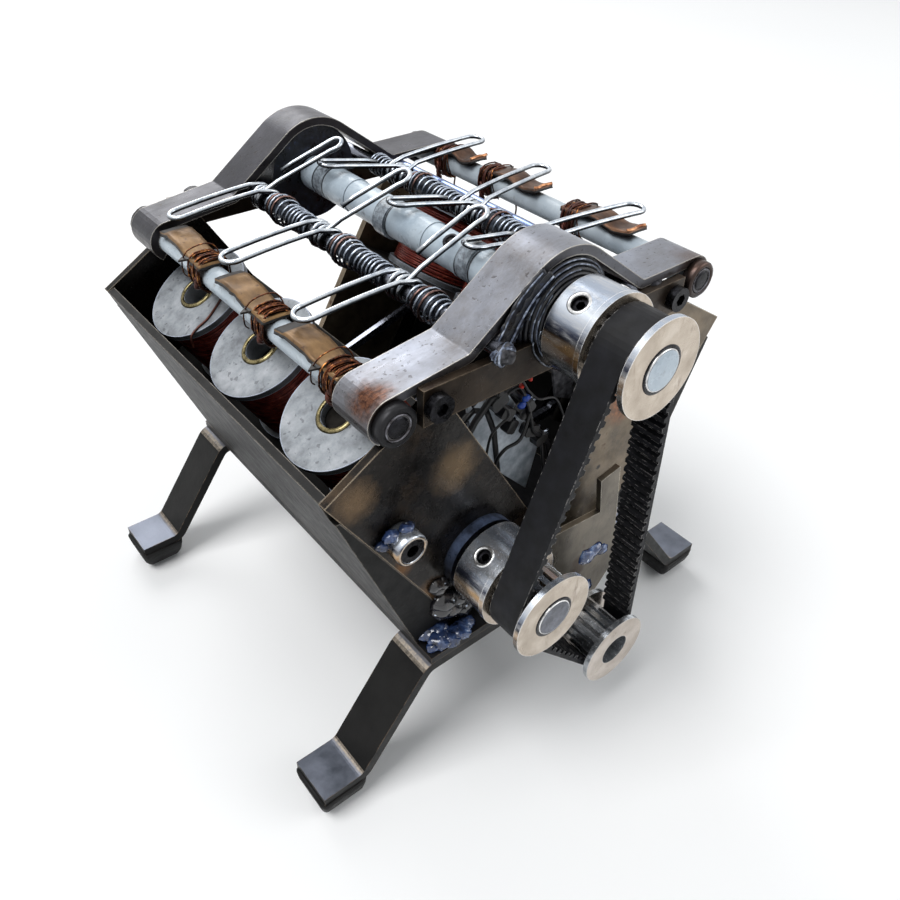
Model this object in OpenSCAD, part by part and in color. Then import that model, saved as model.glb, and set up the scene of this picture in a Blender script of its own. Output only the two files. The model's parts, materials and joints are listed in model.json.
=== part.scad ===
// Six-coil demonstration motor: a sheet steel V block with three solenoids in each bank,
// one crankshaft, one camshaft with wire rockers above it, and a toothed belt at the front.
// X runs across the block, Y from front to back and Z up. The origin is on the floor,
// below the camshaft and midway between the front and the back of the whole machine.

/* [Block] */
// Tilt of each bank from the vertical
bank_angle = 31; // [27:0.5:34]
// Height above the floor where the two bank axes would meet
vee_z = 19.7; // [18:0.1:22]
// Distance along a bank axis from that meeting point to the top edge of the end plates
bank_top = 66.1; // [64:0.1:70]
// Width of each end plate across its bank
plate_w = 23.2; // [22:0.1:25]
// Thickness of the end plates and of the walls
sheet_t = 1.5; // [1:0.1:1.8]
// Distance from the middle of an end coil to the outer face of the end plate beside it
plate_out = 15.4; // [14.8:0.1:20]
// Half of the gap between the two plates at one end
plate_gap = 0.5; // [0.2:0.1:1.5]

/* [Base and legs] */
// Width of the base plate
base_w = 56; // [52:0.5:60]
// Length of the base plate
base_l = 87; // [86:0.5:94]
// Thickness of the base plate
base_t = 1.5; // [1:0.1:2.5]
// Height of the base plate's underside above the floor
base_z = 27; // [24:0.5:27.5]
// Width of a leg strap
leg_w = 9.5; // [8:0.1:10]
// Thickness of a leg strap
leg_t = 2; // [1.2:0.1:2.5]
// Distance across between the middles of the left and right feet
foot_span = 95; // [88:1:110]
// Side of a square rubber foot
foot_side = 10; // [9.6:0.1:12]
// Height of a rubber foot
foot_h = 5.4; // [4:0.1:8]

/* [Coils] */
// Distance along a bank axis to the top face of a coil
coil_top = 61.6; // [60.5:0.1:63]
// Length of a coil over both washers
coil_l = 16; // [15:0.1:16.4]
// Diameter of a coil washer
washer_d = 20.4; // [18:0.1:20.8]
// Thickness of a coil washer
washer_t = 1.2; // [0.8:0.1:2]
// Distance between neighbouring coils
coil_pitch = 23.8; // [22.5:0.1:24]
// Outer diameter of the winding
winding_d = 19; // [14:0.1:19.6]
// Outer diameter of the brass tube
tube_d = 6.6; // [6.4:0.1:7.5]
// Diameter of a plunger
plunger_d = 5.6; // [5.2:0.1:5.8]

/* [Crankshaft] */
// Distance along the left bank axis to the crankshaft
crank_s = 28.9; // [28.4:0.1:29.2]
// Diameter of the crankshaft and the camshaft
shaft_d = 6.35; // [6:0.05:6.5]
// Distance from the crankshaft axis to a crankpin
throw = 3; // [2.5:0.1:3.1]
// Diameter of a crankpin
pin_d = 2.4; // [2:0.1:2.6]
// Length of a left connecting rod between its eyes
rod_l = 10; // [9.8:0.1:10.2]
// Distance along the right bank axis to the middle of the right plungers' wrist travel
right_wrist_s = 35.5; // [35:0.1:36]
// Thickness of a connecting rod
rod_t = 1.2; // [0.8:0.05:1.25]

/* [Camshaft] */
// Height of the camshaft above the floor
cam_z = 86; // [85.6:0.1:88]
// Diameter of a cam ring
cam_ring_d = 6.9; // [6.8:0.1:7.1]
// How far a cam ring is off centre
cam_lift = 0.4; // [0.3:0.05:0.5]

/* [Pulleys and belt] */
// Teeth on the crankshaft pulley and on the camshaft pulley
pulley_teeth = 20; // [18:1:20]
// Teeth on the idler pulley
idler_teeth = 16; // [14:1:16]
// Distance between belt teeth
belt_pitch = 2; // [1.9:0.01:2.02]
// Width of the belt
belt_w = 6; // [4:0.1:6.8]
// Width of the toothed zone between the flanges
belt_zone = 7.3; // [7:0.1:8]
// Diameter of the flanges on the two shaft pulleys
flange_d = 16; // [15.2:0.1:17]
// Diameter of the idler's flanges
idler_flange_d = 15; // [12:0.1:15]
// Thickness of a pulley flange
flange_t = 1; // [0.6:0.1:1.2]
// Length of a pulley hub behind its rear flange
hub_l = 6.7; // [6:0.1:7]
// Diameter of a pulley hub
hub_d = 15.4; // [13:0.1:15.5]
// Distance from the front edge of the base to the front face of the pulleys
pulley_face = 14.8; // [14.7:0.1:18]
// Idler's place to the right of the camshaft
idler_x = 5; // [2:0.1:6]
// Idler's height above the floor
idler_z = 19.9; // [19:0.1:22]

/* [Top gear] */
// Diameter of a contact rod
contact_rod_d = 4.4; // [3.6:0.1:4.6]
// Distance from the middle to each contact rod
contact_rod_x = 32.5; // [32:0.1:34]
// Height of the left contact rod
left_rod_z = 80.4; // [80:0.1:81]
// Height of the right contact rod
right_rod_z = 82.3; // [80:0.1:83]
// Distance from the middle to each spring rod
spring_rod_x = 14; // [13.6:0.1:14.2]
// Diameter of a spring rod
spring_rod_d = 2.5; // [2:0.05:2.6]
// Thickness of the straps
strap_t = 1.6; // [1:0.1:1.8]
// Width of the straps
strap_w = 8.8; // [7:0.1:9.5]
// Inner radius of the straps' round hump
hump_r = 9.4; // [9:0.1:10]
// Height of the cross strips
strip_h = 6.2; // [4.6:0.1:6.6]
// Diameter of the spring wire
spring_wire = 0.6; // [0.4:0.05:0.7]
// Distance between neighbouring curls of a spring
spring_pitch = 2.3; // [2:0.1:3]
// Diameter of the rockers' wire
rocker_wire = 0.9; // [0.7:0.05:1]
// Width of a rocker's hairpin between the middles of its two wires
hairpin_w = 4.4; // [3.8:0.1:4.8]

/* [Hidden] */
$fn = 48;

// Clearances and overruns
cut = 1;
touch = 0.02;
part_gap = 0.1;
run_gap = 0.07;
slide_gap = 0.3;

// Places along the block, front first
row = [-coil_pitch, 0, coil_pitch];
foot_y = base_l / 2 - leg_w / 2;
plate_face = coil_pitch + plate_out;
plate_in = plate_face - sheet_t;
wall_end = plate_in - part_gap;

// The pulleys stand clear of the base and of the plates, whichever reaches further forward
hub_room = 4.3;
pulley_front = max(base_l / 2, plate_face + hub_room) + pulley_face;

// The block's middle is placed so that the origin is midway between front and back
shaft_proud = 0.3;
front_reach = pulley_front + shaft_proud;
shaft_tail = 2.4;
back_reach = max(foot_y + foot_side / 2, plate_face + shaft_tail);
block_y = (front_reach - back_reach) / 2;

// Point in the plane of X and Z at u across the left bank and s along its axis
function lp(u, s) = [
    u * cos(bank_angle) - s * sin(bank_angle),
    vee_z + s * cos(bank_angle) + u * sin(bank_angle)
];
function flip(p) = [-p[0], p[1]];
function unit(v) = v / norm(v);
function side_of(v) = [-v[1], v[0]];
function seg_side(p, i) = side_of(unit(p[i + 1] - p[i]));
function corner_side(a, b) = let (m = unit(a + b)) m / (m * a);
function point_side(p, i) =
    i == 0 ? seg_side(p, 0) :
    i == len(p) - 1 ? seg_side(p, len(p) - 2) :
    corner_side(seg_side(p, i - 1), seg_side(p, i));
// Outline of a bent strip of thickness t along the middle line p
function ribbon(p, t) = concat(
    [for (i = [0:len(p) - 1]) p[i] + point_side(p, i) * t / 2],
    [for (i = [len(p) - 1:-1:0]) p[i] - point_side(p, i) * t / 2]
);
function arc(c, r, a0, a1, n) = [
    for (i = [0:n]) let (a = a0 + (a1 - a0) * i / n) c + r * [cos(a), sin(a)]
];
// Middle line with each inner corner turned into a bend of radius r
function bend(p, r, n) = concat(
    [p[0]],
    [for (i = [1:len(p) - 2]) each corner_arc(p[i - 1], p[i], p[i + 1], r, n)],
    [p[len(p) - 1]]
);
function corner_arc(a, b, c, r, n) =
    let (u = unit(a - b), v = unit(c - b), half = acos(u * v) / 2)
    let (k = r / tan(half), m = b + unit(u + v) * r / sin(half))
    let (p = b + u * k, q = b + v * k)
    let (a0 = atan2(p[1] - m[1], p[0] - m[0]), a1 = atan2(q[1] - m[1], q[0] - m[0]))
    let (turn = a1 - a0 > 180 ? a1 - a0 - 360 : a1 - a0 < -180 ? a1 - a0 + 360 : a1 - a0)
    arc(m, r, a0, a0 + turn, n);

// Solid between two places along the block, from an outline in X and Z
module slab(y0, y1) {
    translate([0, y1, 0]) rotate([90, 0, 0]) linear_extrude(y1 - y0) children();
}
// Round bar along Y
module bar(r, p, y0, y1) {
    translate([p[0], y1, p[1]]) rotate([90, 0, 0]) cylinder(r = r, h = y1 - y0);
}
// Moves the block's own frame to the machine's frame
module in_frame() {
    translate([0, block_y, 0]) children();
}
// Puts the end pieces at the front, or mirrors them to the back
module at_end(rear) {
    mirror([0, rear ? 1 : 0, 0]) children();
}
module at_side(right) {
    mirror([right ? 1 : 0, 0, 0]) children();
}
// Stands a shape with its axis along a bank, u across and s along
module on_bank(right, y, s) {
    at_side(right) translate([lp(0, s)[0], y, lp(0, s)[1]]) rotate([0, -bank_angle, 0]) children();
}

// Swept tubes: rings of points round a line, closed at both ends by fans
function ring_points(p, side, up, r, n) = [
    for (k = [0:n - 1]) let (a = 360 * k / n) p + r * (side * cos(a) + up * sin(a))
];
function line_dir(p, i) = unit(p[min(i + 1, len(p) - 1)] - p[max(i - 1, 0)]);
function square_to(v, t) = unit(v - t * (v * t));
module tube(p, sides, r, n) {
    last = len(p) - 1;
    points = [
        for (i = [0:last])
            let (t = line_dir(p, i), side = square_to(sides[i], t), up = cross(t, side))
            each ring_points(p[i], side, up, r, n)
    ];
    skin = [
        for (i = [0:last - 1], k = [0:n - 1])
            let (a = i * n + k, b = i * n + (k + 1) % n)
            each [[a, b, a + n], [b, b + n, a + n]]
    ];
    first_cap = [for (k = [1:n - 2]) [0, k + 1, k]];
    last_cap = [for (k = [1:n - 2]) [last * n, last * n + k, last * n + k + 1]];
    polyhedron(points = points, faces = concat(skin, first_cap, last_cap));
}
// Least distance between a line's points that are more than half a turn apart, less the wire
function self_gap(p, n, wire) = min([
    for (i = [1:len(p) - 2 - ceil(n / 2)], j = [i + ceil(n / 2):len(p) - 2]) norm(p[i] - p[j])
]) - wire;
// Helix along Y round the point c, with straight ends that stand square to what they meet
function helix(c, rx, rz, y0, y1, turns, n, a0, wire, swells) = concat(
    [[c[0] + rx * cos(a0), y0, c[1] + rz * sin(a0)]],
    [
        for (i = [0:turns * n])
            let (a = a0 + 360 * i / n, y = y0 + wire + (y1 - y0 - 2 * wire) * i / (turns * n))
            let (k = 1 + swells[0] * swell_at(i / n) + swells[1] * swell_at(turns - i / n))
            [c[0] + k * rx * cos(a), y, c[1] + k * rz * sin(a)]
    ],
    [[c[0] + rx * cos(a0 + 360 * turns), y1, c[1] + rz * sin(a0 + 360 * turns)]]
);
// How far a spring has swelled at a number of curls from its end
swell_turns = 3.6;
swell_from_turns = 0.7;
function swell_at(curls) = sin(180 * min(1, max(0, (curls - swell_from_turns) / swell_turns)));
function helix_sides(turns, n, a0) = concat(
    [[cos(a0), 0, sin(a0)]],
    [for (i = [0:turns * n]) [cos(a0 + 360 * i / n), 0, sin(a0 + 360 * i / n)]],
    [[cos(a0 + 360 * turns), 0, sin(a0 + 360 * turns)]]
);
module coil_spring(c, rx, rz, y0, y1, turns, n, a0, wire, swells, label) {
    line = helix(c, rx, rz, y0, y1, turns, n, a0, wire, swells);
    echo(str("Least gap of a ", label, " to itself, mm: ", self_gap(line, n, wire)));
    tube(line, helix_sides(turns, n, a0), wire / 2, 6);
}

// Base and legs
base_top = base_z + base_t;
module base_plate() {
    color([0.13, 0.12, 0.12]) in_frame()
    translate([-base_w / 2, -base_l / 2, base_z]) cube([base_w, base_l, base_t]);
}

leg_bend_r = 3;
leg_foot_share = 0.87;
leg_hip_share = 1.02;
module leg_strap() {
    mid = foot_h + leg_t / 2;
    out = foot_span / 2 + foot_side * leg_foot_share / 2;
    knee = foot_span / 2 - foot_side * leg_foot_share / 2;
    hip = base_w / 2 * leg_hip_share;
    line = [
        [-out, mid], [-knee, mid], [-hip, base_z - leg_t / 2],
        [hip, base_z - leg_t / 2], [knee, mid], [out, mid]
    ];
    slab(-foot_y - leg_w / 2, -foot_y + leg_w / 2) polygon(ribbon(bend(line, leg_bend_r, 5), leg_t));
}
module front_leg_strap() {
    color([0.16, 0.15, 0.15]) in_frame() at_end(false) leg_strap();
}
module rear_leg_strap() {
    color([0.16, 0.15, 0.15]) in_frame() at_end(true) leg_strap();
}

foot_corner_share = 0.63;
foot_sole_share = 0.46;
module rubber_foot() {
    intersection() {
        translate([-foot_side / 2, -foot_side / 2, 0]) cube([foot_side, foot_side, foot_h]);
        cylinder(r = foot_side * foot_corner_share, h = foot_h);
        cylinder(r1 = foot_side * foot_sole_share, r2 = foot_side * foot_sole_share + foot_h, h = foot_h);
    }
}
module rubber_feet() {
    color([0.07, 0.07, 0.08]) in_frame()
    for (x = [-1, 1], y = [-1, 1]) translate([x * foot_span / 2, y * foot_y, 0]) rubber_foot();
}

// End plates
inner_s = (plate_w / 2 * cos(bank_angle) + plate_gap) / sin(bank_angle);
foot_s = (base_top - vee_z + plate_w / 2 * sin(bank_angle)) / cos(bank_angle);
crank = lp(0, crank_s);
bush_wall = 1.4;
bush_r = shaft_d / 2 + bush_wall;
module end_plate(has_bush) {
    slab(-plate_face, -plate_in) difference() {
        polygon([
            lp(-plate_w / 2, bank_top), lp(plate_w / 2, bank_top), lp(plate_w / 2, inner_s),
            [-plate_gap, base_top], lp(-plate_w / 2, foot_s)
        ]);
        if (has_bush) translate(crank) circle(r = bush_r + touch);
    }
}
module front_left_plate() {
    color([0.25, 0.22, 0.2]) in_frame() end_plate(true);
}
module front_right_plate() {
    color([0.42, 0.34, 0.25]) in_frame() at_side(true) end_plate(false);
}
module rear_left_plate() {
    color([0.25, 0.22, 0.2]) in_frame() at_end(true) end_plate(true);
}
module rear_right_plate() {
    color([0.42, 0.34, 0.25]) in_frame() at_side(true) at_end(true) end_plate(false);
}

// Side walls, each with the shelf that carries its coils
wall_top = lp(-plate_w / 2, bank_top);
wall_foot = [-base_w / 2, base_top];
wall_dir = unit(wall_foot - wall_top);
wall_in = -side_of(wall_dir);
wall_t = sheet_t;
deck_s = coil_top - coil_l;
function wall_u(s) = -plate_w / 2 - (bank_top - s) * wall_lean;
wall_lean = tan(bank_angle - atan2(wall_foot[0] - wall_top[0], wall_top[1] - wall_foot[1]));
// Triangle of each wall beside an end plate, from its point on the wall down to the base
gusset_top_share = 0.93;
gusset_top = lp(-plate_w / 2, bank_top * gusset_top_share) - [part_gap, 0];
gusset_foot = lp(-plate_w / 2, foot_s) - [part_gap, 0];
function wall_at(z) = wall_foot + (wall_top - wall_foot) * (z - base_top) / (wall_top[1] - base_top);
module wall_outline() {
    inner = wall_in[0] > 0 ? wall_in : -wall_in;
    foot_in = wall_foot + [wall_t / abs(wall_dir[1]), 0];
    polygon([wall_top, wall_top + inner * wall_t, foot_in, wall_foot]);
}
module side_wall() {
    difference() {
        union() {
            slab(-wall_end, wall_end) wall_outline();
            slab(-wall_end, wall_end) polygon([
                lp(wall_u(deck_s) + wall_t / 2, deck_s), lp(plate_w / 2, deck_s),
                lp(plate_w / 2, deck_s - sheet_t), lp(wall_u(deck_s) + wall_t / 2, deck_s - sheet_t)
            ]);
            for (rear = [false, true]) at_end(rear) slab(-plate_face, -wall_end) polygon([
                wall_at(gusset_top[1]), wall_foot, gusset_foot, gusset_top
            ]);
        }
        for (y = row) on_bank(false, y, deck_s - sheet_t - cut)
            cylinder(r = tube_d / 2 + part_gap, h = sheet_t + 2 * cut);
    }
}
module left_wall() {
    color([0.09, 0.09, 0.1]) in_frame() side_wall();
}
module right_wall() {
    color([0.09, 0.09, 0.1]) in_frame() at_side(true) side_wall();
}

// Straps over the camshaft bearings
strap_back = plate_face - strap_w;
gear_room = strap_back - slide_gap;
rod_hold = contact_rod_d / 2 + touch;
kink_x_share = 1.315;
curl_end_angle = 150;
hump_mid = hump_r + strap_t / 2;
kink = [spring_rod_x * kink_x_share, -strap_t / 2];
kink_angle = atan2(kink[1], -kink[0]);
hump_touch = (kink_angle < 0 ? kink_angle + 360 : kink_angle) - acos(hump_mid / norm(kink));
function strap_half(rod_z) = concat(
    arc([-contact_rod_x, rod_z], rod_hold + strap_t / 2, 90 + curl_end_angle, 90, 12),
    corner_arc(
        [-contact_rod_x, rod_z + rod_hold + strap_t / 2], [-kink[0], cam_z + kink[1]],
        [0, cam_z] + hump_mid * [cos(hump_touch), sin(hump_touch)], strap_t, 4
    ),
    arc([0, cam_z], hump_mid, hump_touch, 90, 14)
);
function backwards(p) = [for (i = [len(p) - 2:-1:0]) p[i]];
module strap() {
    right = [for (p = strap_half(right_rod_z)) flip(p)];
    slab(-plate_face, -strap_back) polygon(ribbon(concat(strap_half(left_rod_z), backwards(right)), strap_t));
}
module front_strap() {
    color([0.55, 0.52, 0.48]) in_frame() strap();
}
module rear_strap() {
    color([0.55, 0.52, 0.48]) in_frame() at_end(true) strap();
}

// Cross strips that tie the two plates of an end together
rod_below_cam = 0.5;
spring_rod_z = cam_z - rod_below_cam;
strip_top = spring_rod_z - spring_rod_d / 2;
strip_half = spring_rod_x * 2;
shaft_room = 1;
module cross_strip() {
    slab(-plate_face - sheet_t, -plate_face) difference() {
        translate([-strip_half, strip_top - strip_h]) square([2 * strip_half, strip_h]);
        translate([0, cam_z]) circle(r = shaft_d / 2 + shaft_room);
    }
}
module front_cross_strip() {
    color([0.3, 0.25, 0.22]) in_frame() cross_strip();
}
module rear_cross_strip() {
    color([0.3, 0.25, 0.22]) in_frame() at_end(true) cross_strip();
}

// Contact rods with their copper pads
rod_proud = 1.8;
module contact_rod(x, z) {
    bar(contact_rod_d / 2, [x, z], -plate_face - rod_proud, plate_face + rod_proud);
}
module left_contact_rod() {
    color([0.78, 0.83, 0.86]) in_frame() contact_rod(-contact_rod_x, left_rod_z);
}
module right_contact_rod() {
    color([0.78, 0.83, 0.86]) in_frame() contact_rod(contact_rod_x, right_rod_z);
}

pad_l = 17;
pad_w = 4.6;
pad_t = 0.8;
pad_rise = 0.9;
wrap_wire = 0.55;
wrap_pitch = 1.1;
wrap_turns = 3;
wrap_from = 0.7;
wrap_room = 0.45;
wrap_width_share = 1.25;
wrap_l = wrap_turns * wrap_pitch + 2 * wrap_wire;
pad_bound = wrap_from + wrap_l + wrap_wire;
// Middle line of a pad in Y and Z, from its bound end, lying on the rod: the bound stretch is flat
pad_bend_shares = [0, 0.25, 0.7, 1];
pad_rise_shares = [0, 1, 1, 0];
function pad_line(top, l) = concat(
    [[0, top + pad_t / 2 + touch]],
    [
        for (i = [0:len(pad_bend_shares) - 1]) [
            pad_bound + (l - pad_bound) * pad_bend_shares[i],
            top + pad_t / 2 + touch + pad_rise * pad_rise_shares[i]
        ]
    ]
);
module pad(x, z, l) {
    translate([x - pad_w / 2, 0, 0]) rotate([90, 0, 90])
        linear_extrude(pad_w) polygon(ribbon(pad_line(z + contact_rod_d / 2, l), pad_t));
}
// Bound end of each pad as a share of the room between the straps, then its share of the full length
left_pad_shares = [[-0.996, 1], [-0.332, 1], [0.403, 1]];
right_pad_shares = [[-0.289, 1], [0.517, 1], [1, 0.7]];
// The left pads are bound at their front ends and the right pads at their rear ends
module at_pad(k, right) {
    translate([0, k[0] * gear_room, 0]) mirror([0, right ? 1 : 0, 0]) children();
}
module left_contact_pads() {
    color([0.45, 0.29, 0.17]) in_frame() for (k = left_pad_shares)
        at_pad(k, false) pad(-contact_rod_x, left_rod_z, k[1] * pad_l);
}
module right_contact_pads() {
    color([0.45, 0.29, 0.17]) in_frame() for (k = right_pad_shares)
        at_pad(k, true) pad(contact_rod_x, right_rod_z, k[1] * pad_l);
}
module pad_wrap(x, z) {
    rx = pad_w / 2 * wrap_width_share + wrap_wire / 2 + wrap_room;
    rz = contact_rod_d / 2 + pad_t + wrap_wire + wrap_room;
    coil_spring(
        [x, z + pad_t / 2], rx, rz, wrap_from, wrap_from + wrap_l,
        wrap_turns, 12, -90, wrap_wire, [0, 0], "pad wrap"
    );
}
module left_pad_wraps() {
    color([0.62, 0.33, 0.15]) in_frame()
    for (k = left_pad_shares) at_pad(k, false) pad_wrap(-contact_rod_x, left_rod_z);
}
module right_pad_wraps() {
    color([0.62, 0.33, 0.15]) in_frame()
    for (k = right_pad_shares) at_pad(k, true) pad_wrap(contact_rod_x, right_rod_z);
}

// Spring rods with the springs that keep the rockers apart
rod_end = plate_face + sheet_t;
module spring_rod(x) {
    bar(spring_rod_d / 2, [x, spring_rod_z], -rod_end, rod_end);
}
module left_spring_rod() {
    color([0.6, 0.6, 0.62]) in_frame() spring_rod(-spring_rod_x);
}
module right_spring_rod() {
    color([0.6, 0.6, 0.62]) in_frame() spring_rod(spring_rod_x);
}

// Rockers' places as shares of the furthest place that the straps leave them
left_pivot_shares = [-0.635, 0.22, 1];
right_pivot_shares = [-0.723, -0.044, 0.785];
bush_l = hairpin_w + 2 * rocker_wire;
pivot_room = gear_room - bush_l / 2;
left_pivots = [for (k = left_pivot_shares) k * pivot_room];
right_pivots = [for (k = right_pivot_shares) k * pivot_room];
bush_t = 0.9;
bush_out = spring_rod_d / 2 + run_gap + bush_t;
spring_room = 0.55;
spring_r = spring_rod_d / 2 + spring_wire / 2 + spring_room;
spring_swell_share = 0.3;
function spring_starts(p) = concat([-gear_room], [for (y = p) y + bush_l / 2 + slide_gap]);
function spring_stops(p) = concat([for (y = p) y - bush_l / 2 - slide_gap], [gear_room]);
function spring_turns(y0, y1) = max(1, round((y1 - y0 - 2 * spring_wire) / spring_pitch));
module springs(x, pivots) {
    starts = spring_starts(pivots);
    stops = spring_stops(pivots);
    last = len(starts) - 1;
    // A rocker that stands beside a strap leaves no room for a spring there
    for (i = [0:last]) if (stops[i] - starts[i] > 2 * spring_pitch)
        coil_spring(
            [x, spring_rod_z], spring_r, spring_r, starts[i], stops[i],
            spring_turns(starts[i], stops[i]), 8, 90, spring_wire,
            [i == 0 ? 0 : spring_swell_share, i == last ? 0 : spring_swell_share], "spring"
        );
}
module left_springs() {
    color([0.5, 0.46, 0.42]) in_frame() springs(-spring_rod_x, left_pivots);
}
module right_springs() {
    color([0.5, 0.46, 0.42]) in_frame() springs(spring_rod_x, right_pivots);
}

// Rockers: a bush on the spring rod with one hairpin outwards and one towards the camshaft
// The outwards hairpin is the narrower one, so its wires lie between the other's
outer_hairpin_w = hairpin_w - 2 * (rocker_wire + part_gap);
module hairpin(l, w) {
    r = rocker_wire / 2;
    for (y = [-1, 1]) translate([0, y * w / 2, 0]) rotate([0, 90, 0]) cylinder(r = r, h = l, $fn = 16);
    translate([l, 0, 0]) rotate([0, 0, -90]) rotate_extrude(angle = 180)
        translate([w / 2, 0]) circle(r = r, $fn = 16);
}
left_reach_shares = [1.2, 1.02];
right_reach_shares = [1.56, 1.08];
module rocker(reach_shares, out_skew, in_skew, out_dip, in_rise) {
    lift = bush_out + rocker_wire / 4;
    difference() {
        union() {
            rotate([90, 0, 0]) cylinder(r = bush_out, h = bush_l, center = true);
            translate([0, 0, lift]) rotate([0, 0, 180 + out_skew]) rotate([0, out_dip, 0])
                hairpin(spring_rod_x * reach_shares[0], outer_hairpin_w);
            translate([0, 0, lift]) rotate([0, 0, in_skew]) rotate([0, -in_rise, 0])
                hairpin(spring_rod_x * reach_shares[1], hairpin_w);
        }
        rotate([90, 0, 0]) cylinder(r = spring_rod_d / 2 + run_gap, h = bush_l + 2 * cut, center = true);
    }
}
left_out_skew_angles = [-4, -4, -8];
left_in_skew_angles = [-3, -16, -18];
right_out_skew_angles = [4, -12, -8];
right_in_skew_angles = [-4, 4, 4];
left_dip_angle = 6;
left_rise_angle = 24;
right_dip_angle = 1;
right_rise_angle = 10.5;
module left_rocker(i) {
    color([0.8, 0.82, 0.84]) in_frame() translate([-spring_rod_x, left_pivots[i], spring_rod_z])
        rocker(
            left_reach_shares, left_out_skew_angles[i], left_in_skew_angles[i],
            left_dip_angle, left_rise_angle
        );
}
module right_rocker(i) {
    color([0.8, 0.82, 0.84]) in_frame() translate([spring_rod_x, right_pivots[i], spring_rod_z])
        mirror([1, 0, 0]) rocker(
            right_reach_shares, right_out_skew_angles[i], right_in_skew_angles[i],
            right_dip_angle, right_rise_angle
        );
}
module rocker_left_front() { left_rocker(0); }
module rocker_left_middle() { left_rocker(1); }
module rocker_left_rear() { left_rocker(2); }
module rocker_right_front() { right_rocker(0); }
module rocker_right_middle() { right_rocker(1); }
module rocker_right_rear() { right_rocker(2); }

// Coils
tube_in = plunger_d / 2 + run_gap;
module bobbin(right, y) {
    color([0.72, 0.72, 0.7]) in_frame() on_bank(right, y, deck_s) difference() {
        union() {
            cylinder(r = washer_d / 2, h = washer_t);
            translate([0, 0, coil_l - washer_t]) cylinder(r = washer_d / 2, h = washer_t);
            cylinder(r = tube_d / 2, h = coil_l + touch);
        }
        translate([0, 0, -cut]) cylinder(r = tube_in, h = coil_l + 2 * cut);
    }
}
module bobbin_left_front() { bobbin(false, row[0]); }
module bobbin_left_middle() { bobbin(false, row[1]); }
module bobbin_left_rear() { bobbin(false, row[2]); }
module bobbin_right_front() { bobbin(true, row[0]); }
module bobbin_right_middle() { bobbin(true, row[1]); }
module bobbin_right_rear() { bobbin(true, row[2]); }

module winding(right, y) {
    on_bank(right, y, deck_s + washer_t + touch) difference() {
        cylinder(r = winding_d / 2, h = coil_l - 2 * washer_t - 2 * touch);
        translate([0, 0, -cut]) cylinder(r = tube_d / 2 + touch, h = coil_l + 2 * cut);
    }
}
module left_windings() {
    color([0.4, 0.07, 0.06]) in_frame() for (y = row) winding(false, y);
}
module right_windings() {
    color([0.4, 0.07, 0.06]) in_frame() for (y = row) winding(true, y);
}

// Crank gear: pin angles in the plane of X and Z, front pin first
pin_angles = [90, 210, 330];
function pin_at(i) = crank + throw * [cos(pin_angles[i]), sin(pin_angles[i])];
// Distance along a bank axis to the point that lies l from p, on the outer side
function wrist_s(p, l, axis, from) =
    let (b = (p - from) * axis, c = (p - from) * (p - from) - l * l)
    b + sqrt(b * b - c);
left_axis = [-sin(bank_angle), cos(bank_angle)];
right_axis = [sin(bank_angle), cos(bank_angle)];
apex = [0, vee_z];
right_rod_l = norm(apex + right_wrist_s * right_axis - crank);
function left_wrist(i) = wrist_s(pin_at(i), rod_l, left_axis, apex);
function right_wrist(i) = wrist_s(pin_at(i), right_rod_l, right_axis, apex);

wrist_r = 1.5;
wrist_pin_r = 0.6;
slot_room = 0.8;
fork_slot = 2 * rod_t + slot_room;
fork_down = 1.5;
plunger_up = 19;
slot_up_share = 0.68;
module plunger(right, i) {
    s = right ? right_wrist(i) : left_wrist(i);
    slot_up = plunger_up * slot_up_share;
    color([0.5, 0.5, 0.52]) in_frame() on_bank(right, row[i], s) difference() {
        translate([0, 0, -fork_down]) cylinder(r = plunger_d / 2, h = plunger_up + fork_down);
        translate([-plunger_d, -fork_slot / 2, -fork_down - cut])
            cube([2 * plunger_d, fork_slot, fork_down + cut + slot_up]);
        rotate([90, 0, 0]) cylinder(r = wrist_pin_r, h = plunger_d + 2 * cut, center = true, $fn = 24);
    }
}
module plunger_left_front() { plunger(false, 0); }
module plunger_left_middle() { plunger(false, 1); }
module plunger_left_rear() { plunger(false, 2); }
module plunger_right_front() { plunger(true, 0); }
module plunger_right_middle() { plunger(true, 1); }
module plunger_right_rear() { plunger(true, 2); }

big_eye_r = 2.2;
rod_bar_w = 1.8;
rods_apart = 0.3;
rod_side = (rod_t + rods_apart) / 2;
module connecting_rod(p, q, y) {
    l = norm(q - p);
    translate([p[0], y, p[1]]) rotate([90, 0, 0]) rotate([0, 0, atan2(q[1] - p[1], q[0] - p[0])])
    linear_extrude(rod_t, center = true) difference() {
        union() {
            circle(r = big_eye_r);
            translate([l, 0]) circle(r = wrist_r);
            translate([0, -rod_bar_w / 2]) square([l, rod_bar_w]);
        }
        circle(r = pin_d / 2 + run_gap);
        translate([l, 0]) circle(r = wrist_pin_r, $fn = 24);
    }
}
module connecting_rods(i) {
    color([0.62, 0.62, 0.64]) in_frame() {
        connecting_rod(pin_at(i), apex + left_wrist(i) * left_axis, row[i] - rod_side);
        connecting_rod(pin_at(i), apex + right_wrist(i) * right_axis, row[i] + rod_side);
    }
}
module connecting_rods_front() { connecting_rods(0); }
module connecting_rods_middle() { connecting_rods(1); }
module connecting_rods_rear() { connecting_rods(2); }

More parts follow.
